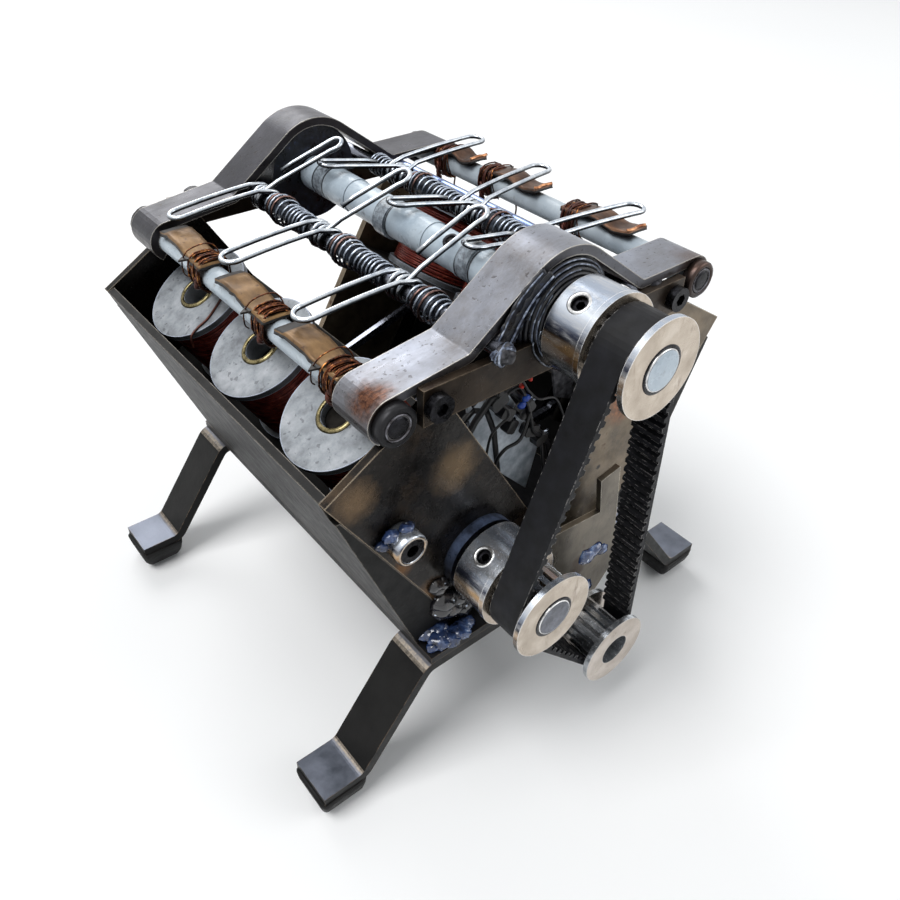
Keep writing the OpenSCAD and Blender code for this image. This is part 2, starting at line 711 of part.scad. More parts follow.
web_t = 2;
web_rim = 0.4;
web_r = throw + pin_d / 2 + web_rim;
web_room = 0.25;
pin_half = rod_t + rods_apart / 2 + web_room;
shaft_back = plate_face + shaft_tail;
module crankshaft() {
    color([0.62, 0.64, 0.67]) in_frame() union() {
        stops = concat([-front_reach], [for (y = row) each [y - pin_half, y + pin_half]], [shaft_back]);
        for (i = [0:2:len(stops) - 1]) bar(shaft_d / 2, crank, stops[i], stops[i + 1]);
        for (i = [0:2]) {
            bar(pin_d / 2, pin_at(i), row[i] - pin_half - cut, row[i] + pin_half + cut);
            bar(web_r, crank, row[i] - pin_half - web_t, row[i] - pin_half);
            bar(web_r, crank, row[i] + pin_half, row[i] + pin_half + web_t);
        }
    }
}

// Pulleys
pitch_line_share = 0.127;
function tip_r(teeth) = teeth * belt_pitch / (2 * PI) - pitch_line_share * belt_pitch;
tooth_h = 0.7;
land_share = 0.28;
floor_share = 0.62;
function tooth_ring(teeth) = [
    for (i = [0:teeth - 1])
        let (r = tip_r(teeth), a = 360 / teeth)
        each [
            r * [cos(a * (i - land_share)), sin(a * (i - land_share))],
            r * [cos(a * (i + land_share)), sin(a * (i + land_share))],
            (r - tooth_h) * [cos(a * (i + 1 - floor_share)), sin(a * (i + 1 - floor_share))],
            (r - tooth_h) * [cos(a * (i + floor_share)), sin(a * (i + floor_share))]
        ]
];
zone_front = -pulley_front + flange_t;
zone_back = zone_front + belt_zone;
hub_back = zone_back + flange_t + hub_l;
grub_d = 3;
grub_sunk = 0.8;
grub_socket_share = 0.25;
grub_y = (zone_back + flange_t + hub_back) / 2;
shaft_fit = shaft_d / 2 + touch;
module toothed_pulley(c, teeth, flange, bore_r, hub) {
    difference() {
        union() {
            bar(flange / 2, c, -pulley_front, zone_front);
            bar(flange / 2, c, zone_back, zone_back + flange_t);
            slab(zone_front - touch, zone_back + touch) translate(c) polygon(tooth_ring(teeth));
            if (hub) bar(hub_d / 2, c, zone_back, hub_back);
        }
        bar(bore_r, c, -pulley_front - cut, hub_back + cut);
        if (hub) grub_places(c) cylinder(r = grub_d / 2 + touch, h = hub_d);
    }
}
grub_angles = [125, 35];
module grub_places(c) {
    for (a = grub_angles) translate([c[0], grub_y, c[1]]) rotate([0, 90 - a, 0]) children();
}
module grub_screws(c) {
    grub_l = (hub_d - shaft_d) / 2 - grub_sunk;
    in_frame() grub_places(c) translate([0, 0, shaft_d / 2 + touch]) difference() {
        cylinder(r = grub_d / 2 - touch, h = grub_l);
        translate([0, 0, grub_l / 2]) cylinder(r = grub_d * grub_socket_share, h = grub_l, $fn = 6);
    }
}
module crank_pulley() {
    color([0.78, 0.77, 0.75]) in_frame() toothed_pulley(crank, pulley_teeth, flange_d, shaft_fit, true);
}
module crank_grub_screws() {
    color([0.12, 0.12, 0.13]) grub_screws(crank);
}
cam = [0, cam_z];
module cam_pulley() {
    color([0.78, 0.77, 0.75]) in_frame() toothed_pulley(cam, pulley_teeth, flange_d, shaft_fit, true);
}
module cam_grub_screws() {
    color([0.12, 0.12, 0.13]) grub_screws(cam);
}

// Camshaft with its three white sleeves and off-centre cam rings
bearing_sunk = 0.2;
bearing_short = 1.5;
bearing_in = strap_back + bearing_short - bearing_sunk;
cam_angles = [90, 210, 330];
ring_l = 3;
sleeve_d = 6.7;
sleeve_half = bearing_in - slide_gap - coil_pitch;
module camshaft() {
    color([0.8, 0.85, 0.88]) in_frame() union() {
        bar(shaft_d / 2, cam, -front_reach, plate_face + rod_proud);
        for (i = [0:2]) {
            bar(sleeve_d / 2, cam, row[i] - sleeve_half, row[i] + sleeve_half);
            bar(
                cam_ring_d / 2, cam + cam_lift * [cos(cam_angles[i]), sin(cam_angles[i])],
                left_pivots[i] - ring_l, left_pivots[i]
            );
        }
    }
}

// Idler on its bracket at the front of the base
idler = [idler_x, idler_z];
idler_bore_r = 3.25;
bracket_y = max(base_l / 2, plate_face);
bracket_t = 1.2;
pin_reach = 3.5;
module idler_pulley() {
    color([0.78, 0.77, 0.75]) in_frame()
        toothed_pulley(idler, idler_teeth, idler_flange_d, idler_bore_r, false);
}
idler_collar_t = 1.2;
// Corners of the bracket's outline from the idler's middle, as shares of its height
bracket_h = 31.9;
bracket_corner_shares = [
    [-0.285, 0.746], [0.194, 0.702], [0.15, 0.966], [0.304, 1],
    [0.423, 0.125], [0.188, -0.188], [-0.188, -0.188]
];
module idler_bracket() {
    color([0.5, 0.42, 0.33]) in_frame() union() {
        slab(-bracket_y - bracket_t, -bracket_y)
            polygon([for (k = bracket_corner_shares) idler + bracket_h * k]);
        bar(idler_bore_r + idler_collar_t, idler, zone_back + flange_t + slide_gap, -bracket_y - bracket_t);
        bar(idler_bore_r - run_gap, idler, zone_back - pin_reach, -bracket_y - bracket_t);
    }
}

// Timing belt round the three pulleys
belt_gap = 0.12;
belt_back = 0.75;
wheels = [cam, crank, idler];
wheel_r = [
    tip_r(pulley_teeth) + belt_gap, tip_r(pulley_teeth) + belt_gap, tip_r(idler_teeth) + belt_gap
];
function next(i) = (i + 1) % 3;
// Angle of the outward normal of the straight run from wheel i to the next
function run_normal(i) =
    let (v = wheels[next(i)] - wheels[i])
    atan2(v[1], v[0]) - 90 + asin((wheel_r[i] - wheel_r[next(i)]) / norm(v));
function upward(a, b) = b < a ? b + 360 : b;
function wheel_arc(i, r) =
    let (a0 = run_normal((i + 2) % 3), a1 = upward(a0, run_normal(i)))
    arc(wheels[i], r, a0, a1, 20);
tooth_root_share = 0.33;
tooth_tip_share = 0.2;
tooth_margin_share = 0.4;
function belt_tooth(p, along, inwards) =
    let (root = along * belt_pitch * tooth_root_share, tip = along * belt_pitch * tooth_tip_share)
    [p - root, p - tip + inwards * tooth_h, p + tip + inwards * tooth_h, p + root];
function run_teeth(i) =
    let (n = [cos(run_normal(i)), sin(run_normal(i))])
    let (p = wheels[i] + wheel_r[i] * n, q = wheels[next(i)] + wheel_r[next(i)] * n)
    let (margin = sqrt(2 * wheel_r[0] * tooth_h) + belt_pitch * tooth_margin_share)
    let (l = norm(q - p), along = unit(q - p))
    let (count = floor((l - 2 * margin) / belt_pitch), first = (l - (count - 1) * belt_pitch) / 2)
    [for (k = [0:count - 1]) each belt_tooth(p + along * (first + k * belt_pitch), along, -n)];
belt_inside = [for (i = [0:2]) each concat(wheel_arc(i, wheel_r[i]), run_teeth(i))];
belt_outside = [for (i = [0:2]) each wheel_arc(i, wheel_r[i] + belt_back)];
module timing_belt() {
    middle = (zone_front + zone_back) / 2;
    color([0.06, 0.06, 0.07]) in_frame() slab(middle - belt_w / 2, middle + belt_w / 2) difference() {
        polygon(belt_outside);
        polygon(belt_inside);
    }
}

// Bearings: stepped rings in the humps and flanged bushes in the plates
bearing_steps = [0.3, 1.3, 0.6, 1.6, 1];
module ringed_bearing() {
    r = hump_r - touch * 2;
    bore = shaft_d / 2 + run_gap;
    steps = bearing_steps;
    face = plate_face - bearing_sunk;
    depth = face - bearing_in;
    w = (r - bore) / len(steps);
    translate([0, -face, cam_z]) rotate([-90, 0, 0]) rotate_extrude() polygon(concat(
        [[bore, depth]],
        [for (i = [0:len(steps) - 1]) each [
            [bore + w * i, steps[len(steps) - 1 - i]], [bore + w * (i + 1), steps[len(steps) - 1 - i]]
        ]],
        [[r, depth]]
    ));
}
bush_flange_r = 7.4;
bush_flange_t = 2;
module crank_bush() {
    difference() {
        union() {
            bar(bush_flange_r, crank, -plate_face - bush_flange_t, -plate_face);
            bar(bush_r, crank, -plate_face - cut, -plate_in);
        }
        bar(shaft_d / 2 + run_gap, crank, -plate_face - bush_flange_t - cut, -plate_in + cut);
    }
}
module shaft_bearings() {
    color([0.16, 0.18, 0.24]) in_frame() for (rear = [false, true]) at_end(rear) {
        ringed_bearing();
        crank_bush();
    }
}

// Bolts, the spacer nut on the front plate and the knobs on the strap ends
bolt_r = 2.2;
bolt_h = 1.5;
module hex_bolt(x, z) {
    y = -plate_face - sheet_t;
    difference() {
        bar(bolt_r, [x, z], y - bolt_h, y);
        slab(y - bolt_h - cut, y - bolt_h / 2) translate([x, z]) circle(r = bolt_r / 2, $fn = 6);
    }
}
bolt_z = strip_top - strip_h / 2;
barrel_l = 4;
barrel_wall = 1;
barrel_in = 4;
barrel_down = 17;
barrel = lp(-plate_w / 2 + barrel_in, bank_top - barrel_down);
module fasteners() {
    color([0.2, 0.2, 0.21]) in_frame() {
        for (rear = [false, true], x = [-1, 1]) at_end(rear)
            hex_bolt(x * (strip_half - bolt_r), bolt_z);
        difference() {
            bar(bolt_r, barrel, -plate_face - barrel_l, -plate_face);
            bar(bolt_r / 2, barrel, -plate_face - barrel_l - cut, -plate_face - barrel_wall);
        }
    }
}

// Beads of hot glue on the front of the machine: place across and up, then size
bead_r = 4.5;
plate_bead_shares = [[-0.36, 0.31, 1], [-0.3, 0.17, 0.7], [-0.41, 0.52, 0.6]];
bracket_bead_shares = [[0.07, 0.66, 0.67], [-0.1, 0.58, 0.5]];
module bead(x, y, z, r) {
    intersection() {
        translate([x, y + r / 2, z]) sphere(r = r);
        translate([x - r, y - r, z - r]) cube([2 * r, r, 2 * r]);
    }
}
module glue_beads() {
    color([0.45, 0.55, 0.75]) in_frame() {
        difference() {
            for (k = plate_bead_shares)
                bead(k[0] * base_w, -plate_face, base_top + k[1] * plate_w, k[2] * bead_r);
            bar(bush_flange_r + touch, crank, -plate_face - bead_r, -plate_face + cut);
        }
        for (k = bracket_bead_shares)
            bead(
                idler_x + k[0] * bracket_h, -bracket_y - bracket_t,
                idler_z + k[1] * bracket_h, k[2] * bead_r
            );
    }
}

// Leads that run from the left coils across the notch and down to the base:
// places as shares of the spring rod's offset, the plates' and the coils' height
lead_d = 1.2;
coil_top_z = lp(0, coil_top)[1];
lead_routes_shares = [
    [[-1, -0.902, 0.834], [-0.857, -0.902, 0.898], [-0.643, -0.902, 0.966], [-0.357, -0.902, 0.977],
        [-0.143, -0.902, 0.898], [0, -0.902, 0.784], [0.214, -0.902, 0.693], [0.429, -0.902, 0.602],
        [0.571, -0.902, 0.443], [0.571, -0.902, 0.261], [0.5, -0.902, 0.102], [0.429, -0.902, 0.015]],
    [[-1, -0.849, 0.834], [-0.929, -0.849, 0.875], [-0.786, -0.849, 0.909], [-0.571, -0.849, 0.875],
        [-0.429, -0.849, 0.761], [-0.357, -0.849, 0.625], [-0.286, -0.849, 0.489],
        [-0.286, -0.849, 0.307], [-0.357, -0.849, 0.148], [-0.429, -0.849, 0.015]]
];
function lead_point(k) = [
    k[0] * spring_rod_x, k[1] * plate_in, base_top + k[2] * (coil_top_z - base_top)
];
module coil_leads() {
    color([0.05, 0.05, 0.06]) in_frame() for (route = lead_routes_shares)
        tube([for (k = route) lead_point(k)], [for (k = route) [0, 1, 0]], lead_d / 2, 8);
}

base_plate();
left_wall();
right_wall();
front_left_plate();
front_right_plate();
rear_left_plate();
rear_right_plate();
front_strap();
rear_strap();
front_cross_strip();
rear_cross_strip();
front_leg_strap();
rear_leg_strap();
rubber_feet();
left_contact_rod();
right_contact_rod();
left_contact_pads();
right_contact_pads();
left_pad_wraps();
right_pad_wraps();
left_spring_rod();
right_spring_rod();
left_springs();
right_springs();
rocker_left_front();
rocker_left_middle();
rocker_left_rear();
rocker_right_front();
rocker_right_middle();
rocker_right_rear();
bobbin_left_front();
bobbin_left_middle();
bobbin_left_rear();
bobbin_right_front();
bobbin_right_middle();
bobbin_right_rear();
left_windings();
right_windings();
plunger_left_front();
plunger_left_middle();
plunger_left_rear();
plunger_right_front();
plunger_right_middle();
plunger_right_rear();
connecting_rods_front();
connecting_rods_middle();
connecting_rods_rear();
crankshaft();
crank_pulley();
crank_grub_screws();
camshaft();
cam_pulley();
cam_grub_screws();
idler_pulley();
idler_bracket();
timing_belt();
shaft_bearings();
fasteners();
glue_beads();
coil_leads();
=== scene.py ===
# Six-coil demonstration motor: materials, wire, windings, tape, glue and leads round the frame.
# Lengths are in millimetres here and become metres where a mesh or a material is made.
# X runs across the block, Y from front to back and Z up. "block" places have Y from its middle.
import json
import random
from math import copysign, cos, pi, radians, sin
import bmesh
import bpy
from mathutils import Matrix, Vector, noise


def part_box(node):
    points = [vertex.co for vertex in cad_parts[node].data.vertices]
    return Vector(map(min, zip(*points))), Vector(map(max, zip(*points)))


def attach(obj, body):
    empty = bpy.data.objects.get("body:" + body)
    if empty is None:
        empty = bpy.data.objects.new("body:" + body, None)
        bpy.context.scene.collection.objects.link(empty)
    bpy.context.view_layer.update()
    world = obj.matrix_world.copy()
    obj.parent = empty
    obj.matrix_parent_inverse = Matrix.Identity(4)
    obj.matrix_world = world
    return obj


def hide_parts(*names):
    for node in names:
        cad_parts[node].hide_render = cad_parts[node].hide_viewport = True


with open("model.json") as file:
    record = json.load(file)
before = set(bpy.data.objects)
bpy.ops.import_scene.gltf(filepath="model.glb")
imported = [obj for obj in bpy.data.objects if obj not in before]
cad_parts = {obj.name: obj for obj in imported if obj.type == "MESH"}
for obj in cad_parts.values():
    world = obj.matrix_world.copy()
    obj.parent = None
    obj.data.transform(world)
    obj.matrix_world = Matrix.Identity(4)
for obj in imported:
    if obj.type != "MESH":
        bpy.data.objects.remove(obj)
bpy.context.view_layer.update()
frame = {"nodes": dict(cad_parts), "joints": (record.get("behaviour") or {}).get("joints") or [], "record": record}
nodes = frame["nodes"]
random.seed(11)
MM = 0.001
EVEN = (1, 1, 1)

# Sizes that follow the frame


def box_mm(node):
    low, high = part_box(node)
    return [v / MM for v in low], [v / MM for v in high]


def middle(node, axis):
    low, high = box_mm(node)
    return (low[axis] + high[axis]) / 2


PLACES = ("front", "middle", "rear")
BASE_LOW, BASE_HIGH = box_mm("base_plate")
BLOCK_Y = (BASE_LOW[1] + BASE_HIGH[1]) / 2
BASE_TOP = BASE_HIGH[2]
PIVOTS = {j["name"]: Vector(j["pos_m"]) / MM for j in frame["joints"] if "pos_m" in j}
CRANK = PIVOTS["crank_spin"]
CAM = PIVOTS["cam_spin"]
ROW = [middle(f"bobbin_left_{p}", 1) - BLOCK_Y for p in PLACES]
SPRING_X = middle("right_spring_rod", 0)
SPRING_Z = middle("right_spring_rod", 2)
ROD_X = middle("right_contact_rod", 0)
ROD_Z = {-1: middle("left_contact_rod", 2), 1: middle("right_contact_rod", 2)}
ROD_R = (box_mm("right_contact_rod")[1][0] - box_mm("right_contact_rod")[0][0]) / 2
PLATE_OUT = BLOCK_Y - box_mm("front_left_plate")[0][1]
STRAP_BACK = BLOCK_Y - box_mm("front_strap")[1][1]
PULLEY_FRONT = BLOCK_Y - box_mm("cam_pulley")[0][1]
BRACKET_FRONT = BLOCK_Y - box_mm("idler_bracket")[0][1]

WORD = {-1: "left", 1: "right"}
PIVOT_Y = {k: [PIVOTS[f"rocker_{w}_{p}_rock"].y - BLOCK_Y for p in PLACES] for k, w in WORD.items()}

# Worn patches and painted reflections on the left plates: place, size and colour
PLATE_WEAR_AND_REFLECTIONS = [
    ((-20.6, BLOCK_Y - PLATE_OUT, 66), 3.6, (0.44, 0.36, 0.26)),
    ((-39, BLOCK_Y - PLATE_OUT, 69), 3, (0.42, 0.34, 0.25)),
    ((-30.9, BLOCK_Y - PLATE_OUT, 50), 1.6, (0.4, 0.27, 0.13)),
    ((-25.0, BLOCK_Y - PLATE_OUT, 40), 2.6, (0.4, 0.28, 0.15)),
]

# Sizes of the banks and coils
BANK = radians(31)
VEE_Z = 19.7
COIL_TOP = 61.6
COIL_L = 16
WASHER_T = 1.2
WINDING_R = 9.5
TUBE_R = 3.3
SHAFT_R = 3.175
SPRING_ROD_R = 1.25
ROCKER_WIRE_R = 0.45
FOOT_HALF = 5


def bank_point(side, u, y, s):
    x = side * (s * sin(BANK) - u * cos(BANK))
    return Vector((x, y + BLOCK_Y, VEE_Z + s * cos(BANK) + u * sin(BANK)))


def bank_frame(side, y, s):
    axis = Vector((side * sin(BANK), 0, cos(BANK)))
    return frame_at(bank_point(side, 0, y, s), axis, Vector((0, 1, 0)))


def block_point(x, y, z):
    return Vector((x, y + BLOCK_Y, z))


# Smooth noise from -1 to 1
def ripple(x, y, z):
    return noise.noise(Vector((x, y, z)))


def polar(r, a, h):
    return Vector((r * cos(a), r * sin(a), h))


def frame_of(x, y, z, point):
    m = Matrix((x, y, z)).transposed().to_4x4()
    m.translation = point
    return m


# A frame whose Z runs along an axis
def frame_at(point, axis, along):
    z = Vector(axis).normalized()
    x = (Vector(along) - z * z.dot(along)).normalized()
    return frame_of(x, z.cross(x), z, point)


# Frame whose Z looks to the front or the back and whose X runs right
def end_frame(x, y, z, sign=-1):
    return frame_at(block_point(x, y, z), (0, sign, 0), (1, 0, 0))


def add_object(name, data):
    obj = bpy.data.objects.new(name, data)
    bpy.context.scene.collection.objects.link(obj)
    return obj


# Camera, fitted to the photograph's corners
CAMERA_PLACE = Vector((-84.52, -105.785, 149.22))
CAMERA_RIGHT = Vector((0.77556, -0.63076, 0.02564))
CAMERA_UP = Vector((0.38342, 0.50293, 0.77464))
CAMERA_LENS = 33.187


def make_camera():
    data = bpy.data.cameras.new("camera")
    data.lens = CAMERA_LENS
    data.sensor_width = 36
    data.clip_start = 0.005
    camera = add_object("camera", data)
    back = CAMERA_RIGHT.cross(CAMERA_UP)
    camera.matrix_world = frame_of(CAMERA_RIGHT, CAMERA_UP, back, CAMERA_PLACE * MM)
    bpy.context.scene.camera = camera


# A node's input takes a socket or a plain value
def feed(tree, node, key, value):
    if isinstance(value, bpy.types.NodeSocket):
        tree.links.new(value, node.inputs[key])
    else:
        node.inputs[key].default_value = value


# A shader node with its settings and inputs, given back as one of its outputs
def add_node(tree, kind, settings, inputs, out=0):
    node = tree.nodes.new(kind)
    for key, value in settings.items():
        setattr(node, key, value)
    for key, value in inputs.items():
        feed(tree, node, key, value)
    return node.outputs[out]


# Light: a white surround for the camera, gloss and glass, and soft lamps at a plain level
SURROUND = 0.4
SURROUND_TINT = (0.93, 0.97, 1, 1)
LAMPS = [
    ("key", (-700, 100, 1350), 800, 16),
    ("fill", (1000, -900, 700), 900, 6),
    ("back", (300, 1250, 1000), 800, 8),
]
LAMP_TARGET = Vector((0, 0, 50))


def make_light():
    scene = bpy.context.scene
    scene.view_settings.view_transform = "Standard"
    world = bpy.data.worlds.new("studio")
    world.use_nodes = True
    scene.world = world
    tree = world.node_tree
    tree.nodes.clear()
    rays = tree.nodes.new("ShaderNodeLightPath").outputs
    seen = rays["Is Camera Ray"]
    for name in ("Is Glossy Ray", "Is Transmission Ray"):
        seen = add_node(tree, "ShaderNodeMath", {"operation": "MAXIMUM"}, {0: seen, 1: rays[name]})
    plain = add_node(tree, "ShaderNodeBackground", {}, {"Color": SURROUND_TINT, "Strength": SURROUND})
    white = add_node(tree, "ShaderNodeBackground", {}, {"Color": (1, 1, 1, 1), "Strength": 1})
    mix = add_node(tree, "ShaderNodeMixShader", {}, {0: seen, 1: plain, 2: white})
    out = tree.nodes.new("ShaderNodeOutputWorld")
    tree.links.new(mix, out.inputs[0])
    for name, place, size, power in LAMPS:
        data = bpy.data.lights.new(name, "AREA")
        data.size = size * MM
        data.energy = power
        lamp = add_object(name, data)
        lamp.location = Vector(place) * MM
        aim = LAMP_TARGET - Vector(place)
        lamp.rotation_euler = aim.to_track_quat("-Z", "Y").to_euler()


# Procedural materials


# Colours are written as they look, in threes; shaders take them linear, in fours
def linear(value):
    if not isinstance(value, tuple) or len(value) == 4:
        return value
    parts = [((v + 0.055) / 1.055) ** 2.4 if v > 0.04045 else v / 12.92 for v in value]
    return (*parts, 1)


class Finish:
    """One procedural material: nodes are added by short calls and feed its shader."""

    def __init__(self, name, metallic=0.0, roughness=0.5, gloss=None):
        self.material = bpy.data.materials.new(name)
        self.material.use_nodes = True
        self.tree = self.material.node_tree
        self.tree.nodes.clear()
        out = self.tree.nodes.new("ShaderNodeOutputMaterial")
        self.shader = self.tree.nodes.new("ShaderNodeBsdfPrincipled")
        self.tree.links.new(self.shader.outputs["BSDF"], out.inputs["Surface"])
        self.set("Metallic", metallic).set("Roughness", roughness)
        if gloss is not None:
            self.set("Specular IOR Level", gloss)
        self.coords = self.add("ShaderNodeTexCoord", {}, {}, "Object")

    def add(self, kind, settings, inputs, out=0):
        return add_node(self.tree, kind, settings, inputs, out)

    def set(self, socket, value):
        feed(self.tree, self.shader, socket, value)
        return self

    # Noise whose lumps are about size across, longer along an axis by its stretch
    def grain(self, size, detail=3, rough=0.55, stretch=EVEN, shift=0.0):
        scale = [1 / (size * MM * k) for k in stretch]
        inputs = {"Vector": self.coords, "Location": (shift, shift, shift), "Scale": scale}
        place = self.add("ShaderNodeMapping", {}, inputs)
        return self.add(
            "ShaderNodeTexNoise", {}, {"Vector": place, "Scale": 1.0, "Detail": detail, "Roughness": rough}
        )

    # Flecks about size across
    def flecks(self, size, share, soft=0.06, shift=0.0):
        return self.ramp(self.grain(size, 2, 0.5, shift=shift), (1 - share, 0), (1 - share + soft, 1))

    def ramp(self, factor, *stops):
        node = self.tree.nodes.new("ShaderNodeValToRGB")
        elements = node.color_ramp.elements
        elements[0].position = stops[0][0]
        elements[1].position = stops[-1][0]
        for position, _ in stops[1:-1]:
            elements.new(position)
        for element, (_, value) in zip(elements, stops):
            element.color = linear(value) if isinstance(value, tuple) else (value, value, value, 1)
        self.tree.links.new(factor, node.inputs[0])
        return node.outputs[0]

    # A noise, given by what grain takes, turned into tones
    def cloud(self, spread, *stops):
        return self.ramp(self.grain(*spread), *stops)

    def mix(self, factor, a, b, way="MIX"):
        settings = {"data_type": "RGBA", "blend_type": way}
        return self.add("ShaderNodeMix", settings, {0: factor, 6: linear(a), 7: linear(b)}, 2)

    def math(self, operation, a, b):
        return self.add("ShaderNodeMath", {"operation": operation, "use_clamp": True}, {0: a, 1: b})

    def times(self, a, b):
        return self.math("MULTIPLY", a, b)

    # 0 to 1 as a value goes from start to stop
    def slope(self, value, start, stop):
        return self.add("ShaderNodeMapRange", {}, {0: value, 1: start, 2: stop})

    # X, Y or Z of a vector
    def part(self, axis, vector):
        return self.add("ShaderNodeSeparateXYZ", {}, {0: vector}, axis)

    # 1 between two places along an axis, 0 outside
    def band(self, axis, start, stop, soft=0.2):
        along = self.part(axis, self.coords)
        up = self.slope(along, (start - soft) * MM, (start + soft) * MM)
        down = self.slope(along, (stop + soft) * MM, (stop - soft) * MM)
        return self.times(up, down)

    # 1 within a radius of a place, 0 outside
    def spot(self, place, radius, soft):
        inputs = {0: self.coords, 1: Vector(place) * MM}
        far = self.add("ShaderNodeVectorMath", {"operation": "DISTANCE"}, inputs, 1)
        ragged = self.add(
            "ShaderNodeMath", {"operation": "MULTIPLY_ADD"},
            {0: self.grain(radius / 2, 4, 0.6), 1: radius * MM, 2: far}
        )
        reach = radius * 1.5
        return self.slope(ragged, (reach + soft) * MM, (reach - soft) * MM)

    # 1 on edges within about width
    def edges(self, width, low=0.03, high=0.2):
        bevel = self.add("ShaderNodeBevel", {"samples": 4}, {"Radius": width * MM})
        normal = self.add("ShaderNodeNewGeometry", {}, {}, "Normal")
        same = self.add("ShaderNodeVectorMath", {"operation": "DOT_PRODUCT"}, {0: bevel, 1: normal}, 1)
        return self.ramp(self.math("SUBTRACT", 1.0, same), (low, 0), (high, 1))

    # 1 deep in corners and crevices, 0 in the open, from ambient occlusion; laid over colours as painted shade
    def corners(self, reach, low=0.25, high=0.75):
        inputs = {"Distance": reach * MM}
        open_share = self.add("ShaderNodeAmbientOcclusion", {"samples": 6}, inputs, "AO")
        return self.ramp(open_share, (low, 1), (high, 0))

    # 0 to 1 as faces turn from one tilt to another; 1 looks straight up
    def facing(self, low, high, axis=2, way=1):
        normal = self.add("ShaderNodeNewGeometry", {}, {}, "Normal")
        return self.slope(self.part(axis, normal), low * way, high * way)

    # Darker on faces that don't look up: painted shade, as light from above leaves them
    def shade(self, dark=0.5, low=-0.1, high=0.9):
        level = self.ramp(self.facing(low, high), (0, dark), (1, 1.0))
        self.base = self.mix(1.0, self.base, level, "MULTIPLY")

    # A tone laid over the base colour where a mask is 1
    def over(self, mask, tone):
        self.base = self.mix(mask, self.base, tone)

    def bump(self, height, depth, strength):
        inputs = {"Height": height, "Distance": depth * MM, "Strength": strength}
        return self.set("Normal", self.add("ShaderNodeBump", {}, inputs))

    # Base colour and a bump
    def coat(self, *relief):
        self.set("Base Color", self.base)
        return self.bump(*relief) if relief else self

    # The same with roughness between two levels over a noise
    def close(self, rough, spread, *relief):
        self.set("Roughness", self.cloud(spread, (0.3, rough[0]), (0.7, rough[1])))
        return self.coat(*relief)


def worn_steel(name, dark, light, wear, metallic, rough, brush=EVEN, rust=None, top=0.6):
    f = Finish(name, metallic, gloss=0.3)
    f.base = f.cloud((9, 5, 0.65), (0.32, dark), (0.68, light))
    fine = f.grain(0.8, 4, 0.7, brush)
    f.over(f.ramp(fine, (0.35, 0.0), (0.75, 0.35)), light)
    if rust:
        f.over(f.flecks(5, 0.4, 0.12, 3.0), rust)
    # painted shade: faces that don't look up are darker
    f.shade(top)
    f.over(f.times(f.edges(0.35), f.cloud((1.5,), (0.3, 0.2), (0.6, 1))), wear)
    # painted shade in corners
    f.over(f.corners(3), (0.04, 0.035, 0.035))
    return f.close(rough, (3, 5, 0.7, brush), f.math("ADD", fine, f.flecks(1.2, 0.36)), 0.05, 0.35)


# Leg straps: black, with a painted blue-grey sky highlight on the up-facing flats, and pale where the strap bends,
# worn metal with a painted highlight
def leg_steel():
    f = Finish("leg_steel", 0.6, gloss=0.3)
    fine = f.grain(0.8, 4, 0.7)
    slope = f.cloud((8, 5, 0.6), (0.3, (0.055, 0.053, 0.052)), (0.7, (0.1, 0.098, 0.096)))
    flat = f.cloud((6, 5, 0.6), (0.3, (0.36, 0.38, 0.42)), (0.7, (0.5, 0.52, 0.57)))
    # up-facing flats blue-grey: painted sky highlight on the black strap
    f.base = f.mix(f.facing(0.8, 0.97), slope, flat)
    # pale bends: wear with a painted highlight
    bend = f.times(f.facing(0.7, 0.85), f.facing(0.99, 0.9))
    f.over(f.times(bend, f.ramp(fine, (0.35, 0.3), (0.6, 1))), (0.58, 0.54, 0.49))
    # painted shade on faces that don't look up
    f.shade(0.5, -0.1, 0.5)
    f.over(f.times(f.edges(0.3), f.cloud((2,), (0.4, 0), (0.6, 1))), (0.44, 0.37, 0.3))
    # painted shade in corners
    f.over(f.corners(3), (0.05, 0.045, 0.04))
    return f.close((0.3, 0.5), (3, 5, 0.7), fine, 0.05, 0.35)


def plate_steel():
    f = Finish("plate_steel", 0.75)
    f.base = f.cloud(
        (11, 5, 0.68), (0.32, (0.06, 0.055, 0.05)), (0.55, (0.12, 0.105, 0.095)),
        (0.75, (0.26, 0.21, 0.16))
    )
    fine = f.grain(0.9, 4, 0.7)
    f.over(f.ramp(fine, (0.55, 0.0), (0.8, 0.3)), (0.34, 0.31, 0.28))
    # tan patches: wear and painted reflections
    for place, radius, tint in PLATE_WEAR_AND_REFLECTIONS:
        spot = f.spot(place, radius, radius * 0.6)
        f.over(f.times(spot, 0.85), tint)
    f.over(f.edges(0.4), (0.66, 0.6, 0.52))
    # painted shade in corners
    f.over(f.corners(3), (0.04, 0.035, 0.03))
    return f.close((0.14, 0.4), (4, 5, 0.7), f.math("ADD", fine, f.grain(5, 3)), 0.12, 0.4)


def tan_steel():
    f = Finish("tan_steel", 0.6)
    f.base = f.cloud(
        (10, 5, 0.68), (0.3, (0.25, 0.22, 0.18)), (0.5, (0.42, 0.37, 0.3)),
        (0.7, (0.54, 0.48, 0.4))
    )
    fine = f.grain(0.9, 4, 0.7)
    rust = f.spot((19.9, BLOCK_Y - PLATE_OUT, 62), 4, 2.5)
    f.over(rust, f.ramp(fine, (0.4, (0.35, 0.17, 0.08)), (0.6, (0.6, 0.36, 0.2))))
    f.over(f.flecks(2.5, 0.34, 0.1), (0.32, 0.24, 0.17))
    f.over(f.spot((15.5, BLOCK_Y - PLATE_OUT, 47.5), 0.5, 0.2), (0.06, 0.05, 0.05))
    f.over(f.edges(0.4), (0.7, 0.64, 0.55))
    # painted shade in corners
    f.over(f.corners(3), (0.06, 0.05, 0.045))
    return f.close((0.25, 0.5), (4, 5, 0.7), f.math("ADD", fine, f.grain(5, 3)), 0.1, 0.4)


